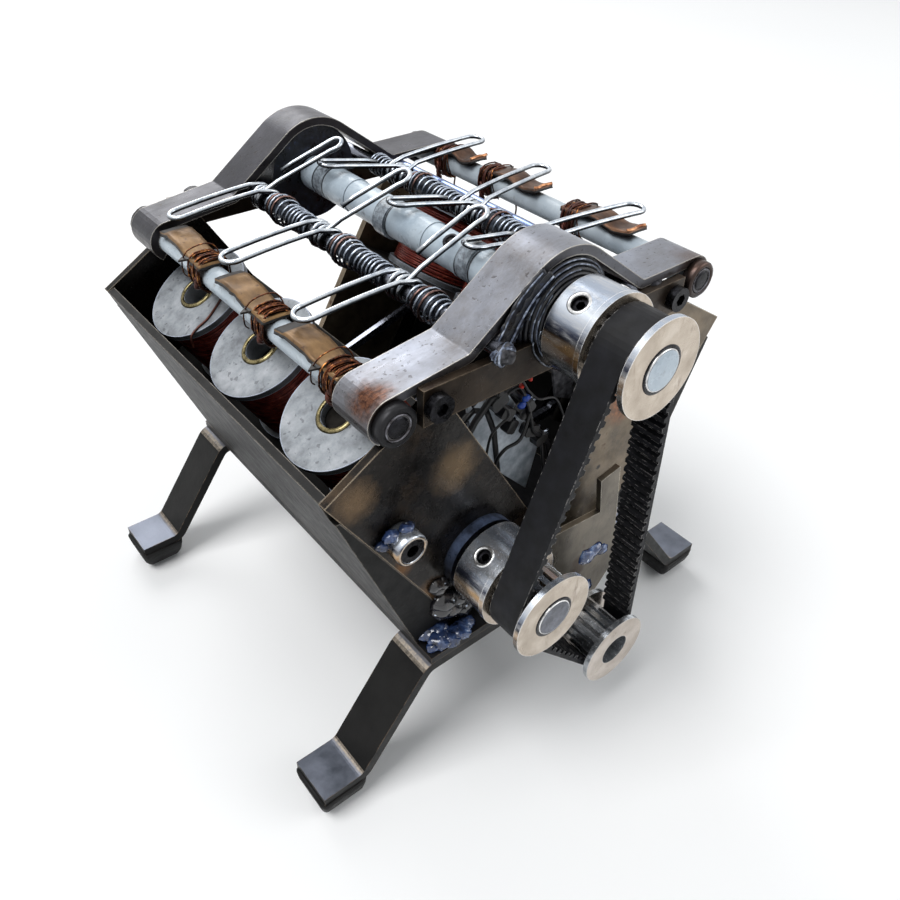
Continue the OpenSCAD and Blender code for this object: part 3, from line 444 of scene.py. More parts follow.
def strap(name, low, mid, high):
    f = Finish(name, 0.8)
    f.base = f.cloud((14, 5, 0.62), (0.3, low), (0.52, mid), (0.72, high))
    fine = f.grain(0.5, 5, 0.75, (5, 1, 1))
    f.over(f.ramp(fine, (0.4, 0.0), (0.8, 0.35)), high)
    pits = f.flecks(0.7, 0.36, 0.05)
    f.over(f.times(pits, 0.55), (0.2, 0.17, 0.15))
    # painted shade on faces that don't look up
    f.shade(0.55, 0.2, 0.98)
    rust = f.ramp(fine, (0.4, (0.2, 0.11, 0.075)), (0.65, (0.42, 0.27, 0.19)))
    f.over(f.spot((-ROD_X - 1.5, BLOCK_Y - PLATE_OUT + 2.5, ROD_Z[-1] + 2.5), 2.9, 1.3), rust)
    dark = f.ramp(fine, (0.4, (0.11, 0.085, 0.07)), (0.65, (0.27, 0.21, 0.17)))
    f.over(f.spot((-ROD_X, BLOCK_Y - PLATE_OUT - 0.5, ROD_Z[-1] - 0.3), 2.4, 0.8), dark)
    stain = f.spot((ROD_X, BLOCK_Y - PLATE_OUT, ROD_Z[1] + 2), 4, 2)
    f.over(f.times(stain, 0.6), (0.34, 0.24, 0.18))
    # painted shade on the undersides
    under = f.math("SUBTRACT", 1.0, f.facing(-0.2, 0.25))
    f.over(f.times(under, 0.7), (0.16, 0.12, 0.1))
    f.over(f.edges(0.35), (0.8, 0.78, 0.74))
    # painted shade in corners
    f.over(f.corners(2.5), (0.08, 0.07, 0.065))
    return f.close((0.24, 0.46), (3, 5, 0.7, (3, 1, 1)), f.math("SUBTRACT", fine, pits), 0.06, 0.4)


def foot_rubber():
    f = Finish("foot_rubber", gloss=0.25)
    f.base = f.cloud((5, 4), (0.35, (0.05, 0.05, 0.05)), (0.7, (0.1, 0.1, 0.1)))
    f.over(f.times(f.edges(0.6), 0.4), (0.22, 0.22, 0.23))
    return f.close((0.42, 0.7), (1.6, 4, 0.7), f.grain(1.6, 4, 0.7), 0.2, 0.5)


# Pale contact rods, dark at their ends
ROD_END_FROM = 40.7
ROD_END_TO = 60


def white_rod():
    f = Finish("white_rod", 0.0, 0.3)
    f.base = f.cloud((7, 4, 0.6, (1, 2, 1)), (0.3, (0.62, 0.67, 0.71)), (0.6, (0.72, 0.76, 0.79)))
    grime_and_corner_shade = f.flecks(1.4, 0.33, 0.1)
    f.over(f.times(grime_and_corner_shade, 0.45), (0.45, 0.43, 0.4))
    # painted shade in corners
    f.over(f.corners(1.6, 0.3, 0.7), (0.22, 0.17, 0.14))
    front = f.band(1, BLOCK_Y - ROD_END_TO, BLOCK_Y - ROD_END_FROM)
    rear = f.band(1, BLOCK_Y + ROD_END_FROM, BLOCK_Y + ROD_END_TO)
    f.over(f.math("ADD", front, rear), (0.2, 0.19, 0.19))
    return f.close((0.22, 0.4), (2.5, 4), f.grain(1.2, 3), 0.06, 0.3)


# Camshaft: pale sleeves with dark joints and grey worn rings where the rockers rub
def cam_sleeve():
    f = Finish("cam_sleeve", 0.0, 0.25)
    f.base = f.cloud((6, 4, 0.6), (0.3, (0.64, 0.7, 0.75)), (0.6, (0.74, 0.79, 0.83)))
    ragged = f.grain(0.8, 4, 0.6)
    for pivot in PIVOT_Y[-1]:
        ring = f.band(1, BLOCK_Y + pivot - 3.2, BLOCK_Y + pivot + 0.1, 0.25)
        f.over(f.times(ring, f.ramp(ragged, (0.35, 0.2), (0.6, 0.9))), (0.4, 0.42, 0.45))
        for edge in (-3.35, 0.15):
            joint = f.band(1, BLOCK_Y + pivot + edge - 0.2, BLOCK_Y + pivot + edge + 0.2, 0.12)
            f.over(joint, (0.1, 0.1, 0.12))
    f.over(f.times(f.flecks(1.8, 0.36, 0.1), 0.5), (0.4, 0.4, 0.42))
    # painted shade in corners
    f.over(f.corners(1.6, 0.3, 0.7), (0.16, 0.14, 0.14))
    return f.close((0.18, 0.35), (2.5, 4), f.grain(1.2, 3), 0.06, 0.3)


def copper_pad():
    f = Finish("copper_pad", 0.5)
    f.base = f.cloud(
        (4, 5, 0.65, (1, 2, 1)), (0.3, (0.28, 0.2, 0.12)), (0.5, (0.46, 0.35, 0.22)),
        (0.7, (0.58, 0.46, 0.3))
    )
    f.over(f.flecks(1.2, 0.36, 0.1), (0.24, 0.15, 0.1))
    f.over(f.times(f.edges(0.25), 0.6), (0.2, 0.13, 0.09))
    # painted shade in corners
    f.over(f.corners(1), (0.1, 0.06, 0.045))
    return f.close((0.32, 0.55), (2, 5, 0.7, (1, 3, 1)), f.grain(0.7, 4, 0.6, (1, 3, 1)), 0.06, 0.4)


# Right pads: dark and burnt, bright copper at the lip
def burnt_pad():
    f = Finish("burnt_pad", 0.5)
    f.base = f.cloud(
        (3, 5, 0.65, (1, 2, 1)), (0.3, (0.16, 0.1, 0.08)), (0.55, (0.34, 0.23, 0.16)),
        (0.72, (0.5, 0.36, 0.26))
    )
    # painted shade in corners
    f.over(f.corners(1), (0.07, 0.04, 0.035))
    return f.close((0.3, 0.55), (2, 5), f.grain(0.8, 4, 0.6), 0.08, 0.4)


def pad_lip():
    f = Finish("pad_lip", 0.8, 0.3)
    f.base = f.cloud((1,), (0.35, (0.5, 0.3, 0.2)), (0.65, (0.85, 0.62, 0.45)))
    return f.coat(f.grain(0.5), 0.03, 0.3)


def pad_backing():
    f = Finish("pad_backing", 0.1, 0.5)
    f.base = f.cloud((2,), (0.35, (0.04, 0.035, 0.035)), (0.7, (0.13, 0.1, 0.085)))
    return f.coat(f.grain(0.8, 4), 0.08, 0.4)


def copper_wire():
    f = Finish("copper_wire", 0.85)
    # the bright golden tone of the noise is a painted highlight
    f.base = f.cloud(
        (1.1, 4, 0.65), (0.36, (0.16, 0.08, 0.055)), (0.55, (0.4, 0.22, 0.13)),
        (0.7, (0.85, 0.58, 0.33))
    )
    # painted shade on faces that don't look up
    f.shade(0.4, -0.2, 0.8)
    # painted shade in corners
    f.over(f.corners(0.8), (0.07, 0.035, 0.03))
    return f.close((0.2, 0.42), (1,), f.grain(0.3), 0.02, 0.3)


def pigtail_wire():
    f = Finish("pigtail_wire", 0.5)
    f.base = f.cloud((1.5, 4), (0.3, (0.13, 0.06, 0.05)), (0.7, (0.36, 0.18, 0.13)))
    return f.close((0.25, 0.5), (1,), f.grain(0.3), 0.03, 0.4)


def bare_metal(name, dark, light, rough, size, stretch, grime_and_corner_shade, under, tilt=(-0.1, 0.9)):
    f = Finish(name, 0.9)
    f.base = f.cloud((size, 4, 0.6, stretch), (0.3, dark), (0.7, light))
    # painted shade: faces that don't look up are darker, and corners too
    f.shade(under, *tilt)
    f.over(f.corners(0.9), grime_and_corner_shade)
    return f.close(rough, (size / 2, 4, 0.6, stretch), f.grain(size / 3, 3), 0.02, 0.3)


def zinc_washer():
    f = Finish("zinc_washer", 0.4)
    f.base = f.cloud(
        (5, 6, 0.7), (0.3, (0.44, 0.45, 0.47)), (0.5, (0.59, 0.61, 0.63)),
        (0.7, (0.71, 0.72, 0.74))
    )
    pits = f.flecks(1.1, 0.37, 0.05)
    f.over(f.times(pits, 0.5), (0.3, 0.3, 0.32))
    smudge = f.flecks(3.2, 0.36, 0.12, 5.0)
    f.over(f.times(smudge, 0.45), (0.36, 0.36, 0.38))
    # painted shade on faces that don't look up, a painted bluish highlight on the edges, painted shade in corners
    f.shade(0.45, 0.1, 0.8)
    f.over(f.edges(0.4), (0.8, 0.84, 0.92))
    f.over(f.corners(2, 0.2, 0.6), (0.1, 0.085, 0.08))
    return f.close((0.36, 0.6), (1.5, 5, 0.7), f.math("SUBTRACT", f.grain(2.5, 5), pits), 0.12, 0.5)


def red_winding():
    f = Finish("red_winding", 0.25, 0.35)
    f.base = f.cloud(
        (1.2, 4, 0.6, (1, 3, 1)), (0.3, (0.36, 0.12, 0.1)), (0.6, (0.56, 0.22, 0.17)),
        (0.78, (0.74, 0.44, 0.34))
    )
    # painted shade in corners
    f.over(f.corners(0.25), (0.24, 0.09, 0.075))
    return f.close((0.25, 0.45), (1,))


# Polished pulleys: bright above, dark across the middle and tan below, painted reflections of sky, room and table;
# cream on the front faces, a painted reflection of the table
def pulley_metal():
    f = Finish("pulley_metal", 0.85)
    # painted reflections: tones set by which way a face looks
    level = f.facing(-1, 1)
    f.base = f.ramp(
        level, (0.1, (0.1, 0.09, 0.09)), (0.36, (0.14, 0.12, 0.11)), (0.44, (0.55, 0.43, 0.3)),
        (0.56, (0.68, 0.56, 0.41)), (0.62, (0.12, 0.12, 0.15)), (0.7, (0.2, 0.22, 0.28)),
        (0.76, (0.6, 0.63, 0.68)), (0.88, (0.88, 0.91, 0.95)), (0.97, (0.66, 0.7, 0.76))
    )
    streak = f.cloud((1.6, 5, 0.7, (1, 6, 1)), (0.42, 0.0), (0.6, 0.5))
    f.over(streak, (0.8, 0.8, 0.8))
    # cream tone for the front faces: a painted reflection of the table
    face = f.cloud(
        (5, 3, 0.6), (0.3, (0.66, 0.61, 0.55)), (0.55, (0.76, 0.71, 0.65)),
        (0.75, (0.86, 0.82, 0.77))
    )
    smear = f.cloud((1.1, 5, 0.7, (1, 1, 4)), (0.56, 0.0), (0.7, 0.6))
    smear = f.times(smear, f.cloud((5, 2), (0.4, 0.1), (0.6, 1.0)))
    face = f.mix(smear, face, (0.42, 0.34, 0.28))
    f.over(f.facing(0.9, 0.98, 1, -1), face)
    # near-white edges: painted highlight
    f.over(f.edges(0.22), (0.97, 0.97, 0.97))
    # painted shade in corners
    f.over(f.corners(1.0, 0.15, 0.5), (0.07, 0.065, 0.065))
    return f.close((0.14, 0.3), (1.2, 5, 0.7), f.grain(0.5, 4, 0.6), 0.015, 0.3)


def idler_metal():
    f = Finish("idler_metal", 0.85)
    f.base = f.cloud((1.5, 4, 0.6, (1, 5, 1)), (0.3, (0.5, 0.51, 0.53)), (0.7, (0.86, 0.88, 0.9)))
    # painted shade on faces that don't look up
    f.shade(0.5, -0.7, 0.4)
    # cream tone for the front faces: a painted reflection of the table
    face = f.cloud((4, 3, 0.6), (0.35, (0.7, 0.65, 0.6)), (0.65, (0.84, 0.8, 0.76)))
    f.over(f.facing(0.9, 0.98, 1, -1), face)
    # near-white edges: painted highlight
    f.over(f.edges(0.2), (0.95, 0.95, 0.96))
    # painted shade in corners
    f.over(f.corners(0.8, 0.2, 0.5), (0.07, 0.07, 0.08))
    return f.close((0.14, 0.3), (1.2, 5, 0.7))


def belt_rubber():
    f = Finish("belt_rubber", gloss=0.2)
    f.base = f.cloud((3, 4), (0.35, (0.05, 0.052, 0.06)), (0.7, (0.09, 0.093, 0.11)))
    # pale flecks on the tooth edges: painted glints
    f.over(f.times(f.edges(0.2), f.flecks(0.9, 0.5, 0.06)), (0.62, 0.61, 0.6))
    return f.close((0.45, 0.65), (2, 4), f.grain(0.4, 4), 0.03, 0.4)


def bearing_dark():
    f = Finish("bearing_dark", 0.2, 0.35)
    f.base = f.cloud(
        (1.2, 5, 0.7), (0.4, (0.03, 0.033, 0.045)), (0.62, (0.07, 0.09, 0.14)),
        (0.8, (0.22, 0.28, 0.42))
    )
    # painted sheen: up-facing faces of the crank bearing lit bluish grey
    low_ring = f.times(f.band(2, BASE_TOP, CRANK.z + 12), f.facing(0.0, 0.7))
    sheen = f.cloud((2, 5, 0.7), (0.35, (0.16, 0.19, 0.26)), (0.65, (0.38, 0.44, 0.56)))
    f.over(f.times(low_ring, 0.85), sheen)
    # painted shade in corners
    f.over(f.corners(1.2), (0.025, 0.025, 0.03))
    return f.close((0.22, 0.5), (1.2, 4), f.grain(0.8, 5, 0.7), 0.12, 0.6)


# Pale tone for the tapes' torn edges and thin strands, painted glints on dark tape, and for the rings round the
# knot
def torn_tape():
    f = Finish("torn_tape", 0.1, 0.35)
    f.base = f.cloud(
        (0.9, 4), (0.35, (0.16, 0.18, 0.24)), (0.55, (0.45, 0.49, 0.57)),
        (0.72, (0.8, 0.84, 0.9))
    )
    return f.coat(f.grain(0.5, 4), 0.05, 0.5)


def glue(name, dark, mid, light):
    f = Finish(name, 0.0, 0.12)
    f.base = f.cloud((2.2, 5, 0.6), (0.35, dark), (0.55, mid), (0.75, light))
    # pale flecks: painted glints
    f.over(f.flecks(0.9, 0.31, 0.04, 7.0), (0.85, 0.9, 0.97))
    # painted shade in corners
    f.over(f.corners(1.5), dark)
    f.set("Coat Weight", 0.6)
    f.set("Coat Roughness", 0.08)
    return f.coat(f.grain(1.6, 2), 0.12, 0.4)


def plain(name, dark, light, rough=0.4, metallic=0.0, size=2.0):
    f = Finish(name, metallic, rough, 0.35)
    f.base = f.cloud((size, 4), (0.35, dark), (0.7, light))
    return f.coat(f.grain(size / 3, 3), 0.04, 0.4)


# Dark and light tone, worn edges, metal share, roughness, brush, rust and the tone of upright faces, a painted
# shade
STEELS = {
    "dark_steel": ((0.1, 0.1, 0.11), (0.19, 0.19, 0.2), (0.42, 0.36, 0.3), 0.55, (0.3, 0.55)),
    "black_steel": ((0.05, 0.05, 0.05), (0.1, 0.098, 0.096), (0.6, 0.57, 0.53), 0.3, (0.45, 0.65)),
    "strip_steel": (
        (0.1, 0.085, 0.075), (0.3, 0.25, 0.2), (0.5, 0.44, 0.37), 0.6, (0.22, 0.45), EVEN, (0.16, 0.11, 0.08)
    ),
    "bracket_steel": (
        (0.3, 0.28, 0.25), (0.5, 0.47, 0.42), (0.85, 0.82, 0.77), 0.7, (0.24, 0.42), (1, 1, 5),
        (0.3, 0.25, 0.2), 0.9
    )
}
# Dark and light tone, roughness, size and stretch of the noise, painted shade tone in corners, painted shade tone
# below, tilt
METALS = {
    "rod_steel": ((0.4, 0.41, 0.44), (0.68, 0.7, 0.76), (0.16, 0.34), 2, (1, 4, 1), (0.1, 0.09, 0.09), 0.35),
    "spring_steel": (
        (0.4, 0.43, 0.48), (0.8, 0.84, 0.9), (0.18, 0.36), 1.2, EVEN, (0.14, 0.15, 0.18), 0.24,
        (-0.1, 0.85)
    ),
    "spring_copper": (
        (0.34, 0.26, 0.25), (0.6, 0.48, 0.45), (0.2, 0.4), 1.2, EVEN, (0.07, 0.05, 0.05), 0.12, (0.0, 0.9)
    ),
    # bright wire: the very low tone below paints dark outlines, a painted shade
    "bright_wire": (
        (0.68, 0.72, 0.77), (0.93, 0.95, 0.97), (0.12, 0.26), 1.5, EVEN, (0.14, 0.15, 0.18), 0.07,
        (0.05, 0.85)
    ),
    "brass": ((0.3, 0.27, 0.17), (0.66, 0.61, 0.45), (0.2, 0.4), 1.0, EVEN, (0.08, 0.07, 0.04), 0.4),
    "plunger_steel": (
        (0.06, 0.055, 0.05), (0.15, 0.14, 0.13), (0.3, 0.5), 2, EVEN, (0.02, 0.02, 0.02), 0.5
    ),
    "black_screw": ((0.05, 0.05, 0.055), (0.2, 0.2, 0.22), (0.2, 0.4), 1.0, EVEN, (0.02, 0.02, 0.02), 0.6),
    # blue sheath: pale blue-white tones are a painted highlight on a dark blue cable; the low tone below is
    # painted shade
    "blue_sheath": (
        (0.34, 0.42, 0.62), (0.72, 0.79, 0.95), (0.14, 0.3), 3, (1, 5, 1), (0.05, 0.06, 0.09), 0.08,
        (0.1, 0.9)
    )
}
# Low, middle and high tone; the rear strap's darker copy is a painted shade
STRAPS = {
    "strap_steel": ((0.42, 0.41, 0.41), (0.52, 0.53, 0.56), (0.62, 0.64, 0.69)),
    "rear_strap_steel": ((0.19, 0.19, 0.2), (0.27, 0.27, 0.29), (0.36, 0.36, 0.39))
}
GLUES = {
    "blue_glue": ((0.07, 0.1, 0.17), (0.2, 0.28, 0.45), (0.52, 0.62, 0.78)),
    "dark_glue": ((0.04, 0.04, 0.05), (0.12, 0.12, 0.14), (0.34, 0.3, 0.27))
}
# Dark and light tone, roughness, metal share and size of the noise
PLAINS = {
    "black_lead": ((0.03, 0.03, 0.035), (0.09, 0.09, 0.1), 0.35),
    "blue_bit": ((0.05, 0.12, 0.4), (0.15, 0.35, 0.75)),
    "red_bit": ((0.5, 0.06, 0.04), (0.85, 0.2, 0.12)),
    "grey_bit": ((0.6, 0.64, 0.68), (0.82, 0.85, 0.88), 0.35, 0.2),
    "rod_rim": ((0.2, 0.18, 0.18), (0.5, 0.5, 0.53), 0.3, 0.8, 1),
    "bright_rim": ((0.7, 0.7, 0.7), (0.95, 0.95, 0.95), 0.2, 0.9, 1),
    "knot_grey": ((0.13, 0.13, 0.14), (0.38, 0.38, 0.4), 0.45, 0.3, 1),
    "spring_gap": ((0.1, 0.11, 0.13), (0.26, 0.29, 0.34), 0.4, 0.3, 1)
}

LOOKS = {}
TABLES = ((worn_steel, STEELS), (bare_metal, METALS), (strap, STRAPS), (glue, GLUES), (plain, PLAINS))
for make, rows in TABLES:
    for name, row in rows.items():
        LOOKS[name] = make(name, *row).material
for make in (
    plate_steel, tan_steel, leg_steel, foot_rubber, white_rod, cam_sleeve, copper_pad, burnt_pad, pad_lip,
    pad_backing, copper_wire, pigtail_wire, zinc_washer, red_winding, pulley_metal, idler_metal,
    belt_rubber, bearing_dark, torn_tape
):
    LOOKS[make.__name__] = make().material

# Nodes whose look isn't their slot's own
NODE_LOOKS = {
    "front_leg_strap": "leg_steel", "rear_leg_strap": "leg_steel", "camshaft": "cam_sleeve",
    "rear_strap": "rear_strap_steel", "idler_pulley": "idler_metal"
}

# CAD nodes: their material by slot, and a small bevel on cut sheet and turned edges
BEVELS = {
    "dark_steel": 0.25, "black_steel": 0.2, "plate_steel": 0.2, "tan_steel": 0.2, "strap_steel": 0.25,
    "strip_steel": 0.2, "bracket_steel": 0.2, "zinc_washer": 0.18, "pulley_metal": 0.12,
    "white_rod": 0.2, "belt_rubber": 0.06
}


def add_bevel(obj, width, angle):
    bevel = obj.modifiers.new("edges", "BEVEL")
    bevel.width = width * MM
    bevel.segments = 2
    bevel.limit_method = "ANGLE"
    bevel.angle_limit = radians(angle)


def dress_frame():
    for part in frame["record"]["subparts"]:
        obj = nodes[part["node"]]
        slot = part["material_slot"]
        obj.data.materials.clear()
        obj.data.materials.append(LOOKS[NODE_LOOKS.get(part["node"], slot)])
        if slot in BEVELS:
            add_bevel(obj, BEVELS[slot], 50)


# Quads between rings of n points each, ring after ring
def quads(rings, n):
    out = []
    for i in range(rings - 1):
        for k in range(n):
            a, b = i * n + k, i * n + (k + 1) % n
            out.append([a, b, b + n, a + n])
    return out


class Form:
    """Collects points and faces in millimetres and turns them into one piece on a body."""

    def __init__(self):
        self.points = []
        self.faces = []
        self.tones = []
        self.flat = []

    def add(self, points, faces, tone=0, flat=False):
        first = len(self.points)
        self.points += [Vector(p) for p in points]
        self.faces += [[first + i for i in face] for face in faces]
        self.tones += tone if isinstance(tone, list) else [tone] * len(faces)
        self.flat += [flat] * len(faces)

    # Tube along a path; its radius may be a list, and squash flattens it along its second side
    def tube(self, path, radius, sides=8, tone=0, squash=1.0, side=None):
        count = len(path)
        radii = radius if isinstance(radius, (list, tuple)) else [radius] * count
        tones = tone if isinstance(tone, (list, tuple)) else [tone] * count
        points = []
        across = Vector(side) if side else None
        for i, p in enumerate(path):
            ahead = (path[min(i + 1, count - 1)] - path[max(i - 1, 0)]).normalized()
            if across is None:
                across = ahead.orthogonal()
            across = (across - ahead * ahead.dot(across)).normalized()
            up = ahead.cross(across) * squash
            for k in range(sides):
                a = 2 * pi * k / sides
                points.append(p + (across * cos(a) + up * sin(a)) * radii[i])
        first = len(self.points)
        self.add(points, quads(count, sides), [t for t in tones[:-1] for _ in range(sides)])
        last = first + (count - 1) * sides
        self.faces += [list(range(first, first + sides))[::-1], list(range(last, last + sides))]
        self.tones += [tones[0], tones[-1]]
        self.flat += [True, True]

    # Turned shape: (radius, height) pairs round the frame's Z; a closed profile is a ring
    def lathe(self, profile, place, steps=32, tone=0, ring=False, start=0.0, turn=360.0, wobble=0.0):
        closed_turn = turn >= 360
        columns = steps if closed_turn else steps + 1
        points = []
        for i in range(columns):
            a = radians(start + turn * i / steps)
            for r, h in profile:
                k = r * (1 + wobble * ripple(3 * cos(a), 3 * sin(a), h + r))
                points.append(place @ polar(k, a, h))
        n = len(profile)
        faces = []
        for i in range(steps):
            j = (i + 1) % columns
            for k in range(n if ring else n - 1):
                m = (k + 1) % n
                faces.append([i * n + k, j * n + k, j * n + m, i * n + m])
        if ring and not closed_turn:
            faces.append(list(range(n)))
            faces.append([steps * n + k for k in range(n)][::-1])
        self.add(points, faces, tone)

    # Solid of an outline in the frame's X and Y, from its Z = 0 to depth
    def prism(self, outline, depth, place, tone=0):
        n = len(outline)
        points = [place @ Vector((x, y, z)) for z in (0, depth) for x, y in outline]
        faces = [list(range(n))[::-1], list(range(n, 2 * n))]
        faces += [[k, (k + 1) % n, n + (k + 1) % n, n + k] for k in range(n)]
        self.add(points, faces, tone, True)

    # Closed skin between two grids of points of the same size
    def shell(self, top, bottom, tone=0, far=None, far_tone=0):
        rows, columns = len(top), len(top[0])
        points = [p for row in top for p in row] + [p for row in bottom for p in row]
        n = rows * columns
        faces = []
        for i in range(rows - 1):
            for j in range(columns - 1):
                a = i * columns + j
                faces.append([a, a + 1, a + columns + 1, a + columns])
                faces.append([n + a, n + a + columns, n + a + columns + 1, n + a + 1])
        rim = list(range(columns))
        rim += [(i + 1) * columns - 1 for i in range(1, rows)]
        rim += [(rows - 1) * columns + j for j in range(columns - 2, -1, -1)]
        rim += [i * columns for i in range(rows - 2, 0, -1)]
        for k, a in enumerate(rim):
            b = rim[(k + 1) % len(rim)]
            faces.append([a, n + a, n + b, b])
        self.add(points, faces, tone)
        if far is not None:
            start = len(self.tones) - len(faces)
            for k in range(2 * far * (columns - 1), 2 * (rows - 1) * (columns - 1)):
                self.tones[start + k] = far_tone

    # Lumpy blob
    def blob(self, centre, size, lump=0.15, steps=14, tone=0, seed=0.0):
        points = []
        rings = steps // 2
        for i in range(rings + 1):
            a = pi * i / rings
            for k in range(steps):
                b = 2 * pi * k / steps
                d = Vector((sin(a) * cos(b), sin(a) * sin(b), cos(a)))
                grow = 1 + lump * ripple(*(d * 1.6 + Vector((seed, seed, seed))))
                points.append(Vector(centre) + Vector([d[m] * size[m] * grow for m in range(3)]))
        self.add(points, [[a, d, c, b] for a, b, c, d in quads(rings + 1, steps)], tone)

    def piece(self, name, body, looks, replaces=(), bevel=0.0):
        mesh = bpy.data.meshes.new(name)
        mesh.from_pydata([p * MM for p in self.points], [], self.faces)
        for look in looks:
            mesh.materials.append(LOOKS[look])
        mesh.polygons.foreach_set("material_index", self.tones)
        mesh.polygons.foreach_set("use_smooth", [not f for f in self.flat])
        work = bmesh.new()
        work.from_mesh(mesh)
        bmesh.ops.remove_doubles(work, verts=work.verts, dist=1e-7)
        bmesh.ops.recalc_face_normals(work, faces=work.faces)
        work.to_mesh(mesh)
        work.free()
        obj = add_object(name, mesh)
        if bevel:
            add_bevel(obj, bevel, 40)
        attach(obj, body)
        if replaces:
            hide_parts(*replaces)
        return obj


def arc_points(centre, side, up, radius, start, stop, steps):
    out = []
    for i in range(steps + 1):
        a = radians(start + (stop - start) * i / steps)
        out.append(centre + side * radius * cos(a) + up * radius * sin(a))
    return out


# Smooth line through a few points
def curve(points, steps=8):
    points = [Vector(p) for p in points]
    out = []
    last = len(points) - 1
    for i in range(last):
        a, b, c, d = (points[max(i - 1, 0)], points[i], points[i + 1], points[min(i + 2, last)])
        for k in range(steps):
            t = k / steps
            out.append(
                0.5 * (2 * b + (c - a) * t + (2 * a - 5 * b + 4 * c - d) * t ** 2
                       + (3 * b - a - 3 * c + d) * t ** 3)
            )
    out.append(points[-1])
    return out


# Rockers: one wire, from its hook on the spring rod round the outer loop, three turns round
# the rod, and round the inner loop to its free end
LOOP_W = {-1: (4.2, 4.2, 3.7), 1: (4.2, 4.2, 4.2)}
OUT_REACH = {-1: 1.2 * SPRING_X, 1: 1.56 * SPRING_X}
IN_REACH = {-1: 1.02 * SPRING_X, 1: 1.08 * SPRING_X}
OUT_DIP = {-1: 6, 1: 1}
IN_RISE = {-1: 24, 1: 10.5}
OUT_SKEW = {-1: (-4, -4, -3.5), 1: (4, -12, -8)}
IN_SKEW = {-1: (-3, -16, -18), 1: (-4, 4, 4)}
WIND_R = SPRING_ROD_R + ROCKER_WIRE_R + 0.28
FREE_END_GAP = 4.5
LOOP_LIFT = 2.45
LOOP_STEPS = 14
OUT_TRIM = 1.2
OUT_TIP = 0.6
IN_START = 0.4
IN_NARROW = 0.2
IN_TIP = 0.8
TURNS = 3
BOW = 0.25
ALONG = (0.12, 0.3, 0.5, 0.7, 0.88)


def leg_direction(side, skew, climb, outwards):
    s = radians(skew)
    c = radians(climb)
    x = cos(s) * cos(c) * (side if outwards else -side)
    y = sin(s) * cos(c) * (-1 if outwards else 1)
    return Vector((x, y, sin(c)))


def rocker(side, i):
    name = f"rocker_{WORD[side]}_{PLACES[i]}"
    pivot = PIVOTS[name + "_rock"]
    along = Vector((0, 1, 0))
    up = Vector((0, 0, 1))
    out = Vector((side, 0, 0))
    half = LOOP_W[side][i] / 2
    top = pivot + up * LOOP_LIFT
    out_dir = leg_direction(side, OUT_SKEW[side][i], -OUT_DIP[side], True)
    in_dir = leg_direction(side, IN_SKEW[side][i], IN_RISE[side], False)
    out_wide = (along - out_dir * along.dot(out_dir)).normalized()
    in_wide = (along - in_dir * along.dot(in_dir)).normalized()
    path = arc_points(pivot - along * (half + ROCKER_WIRE_R), out, up, WIND_R, 215, 90, 10)
    start = top - along * half
    reach = OUT_REACH[side] + half - OUT_TRIM
    bow = up * BOW
    path += [start + out_dir * reach * k + bow * sin(pi * k) for k in ALONG]
    tip = top + out_dir * (reach - OUT_TIP)
    path += arc_points(tip, -out_wide, out_dir, half, 0, 180, LOOP_STEPS)
    start = top + out_wide * half
    path += [start + out_dir * reach * k + bow * sin(pi * k) for k in ALONG[::-1]]
    for k in range(TURNS * LOOP_STEPS + 1):
        share = k / (TURNS * LOOP_STEPS)
        a = radians(90 + 360 * TURNS * share)
        ring = WIND_R + 0.12 * sin(5 * share + i)
        path.append(
            pivot + along * (half - (2 * half - 0.5) * share) + out * ring * cos(a)
            + up * ring * sin(a)
        )
    reach = IN_REACH[side] + half
    start = top - along * (half - IN_START)
    path += [start + in_dir * reach * k for k in (0.15, 0.4, 0.65, 0.85)]
    tip = top + in_dir * (reach - IN_TIP)
    path += arc_points(tip, -in_wide, in_dir, half - IN_NARROW, 0, 180, LOOP_STEPS)
    stop = FREE_END_GAP / reach
    path += [top + in_wide * (half - IN_NARROW) + in_dir * reach * k for k in (0.85, 0.6, stop + 0.15)]
    path.append(top + in_wide * (half - 0.1) + in_dir * reach * stop - up * 0.35)
    form = Form()
    form.tube(path, ROCKER_WIRE_R, 10)
    form.piece(name + "_wire", name, ["bright_wire"], [name])


# Springs: fine curls, wider and partly copper coloured just in front of each rocker
SPRING_PITCH = 1.2
SPRING_WIRE_R = 0.25
SPRING_R = 2.05
BUSH_HALF = 3.3
SWELL = 0.62
SHADE_SLEEVE_R = 1.62


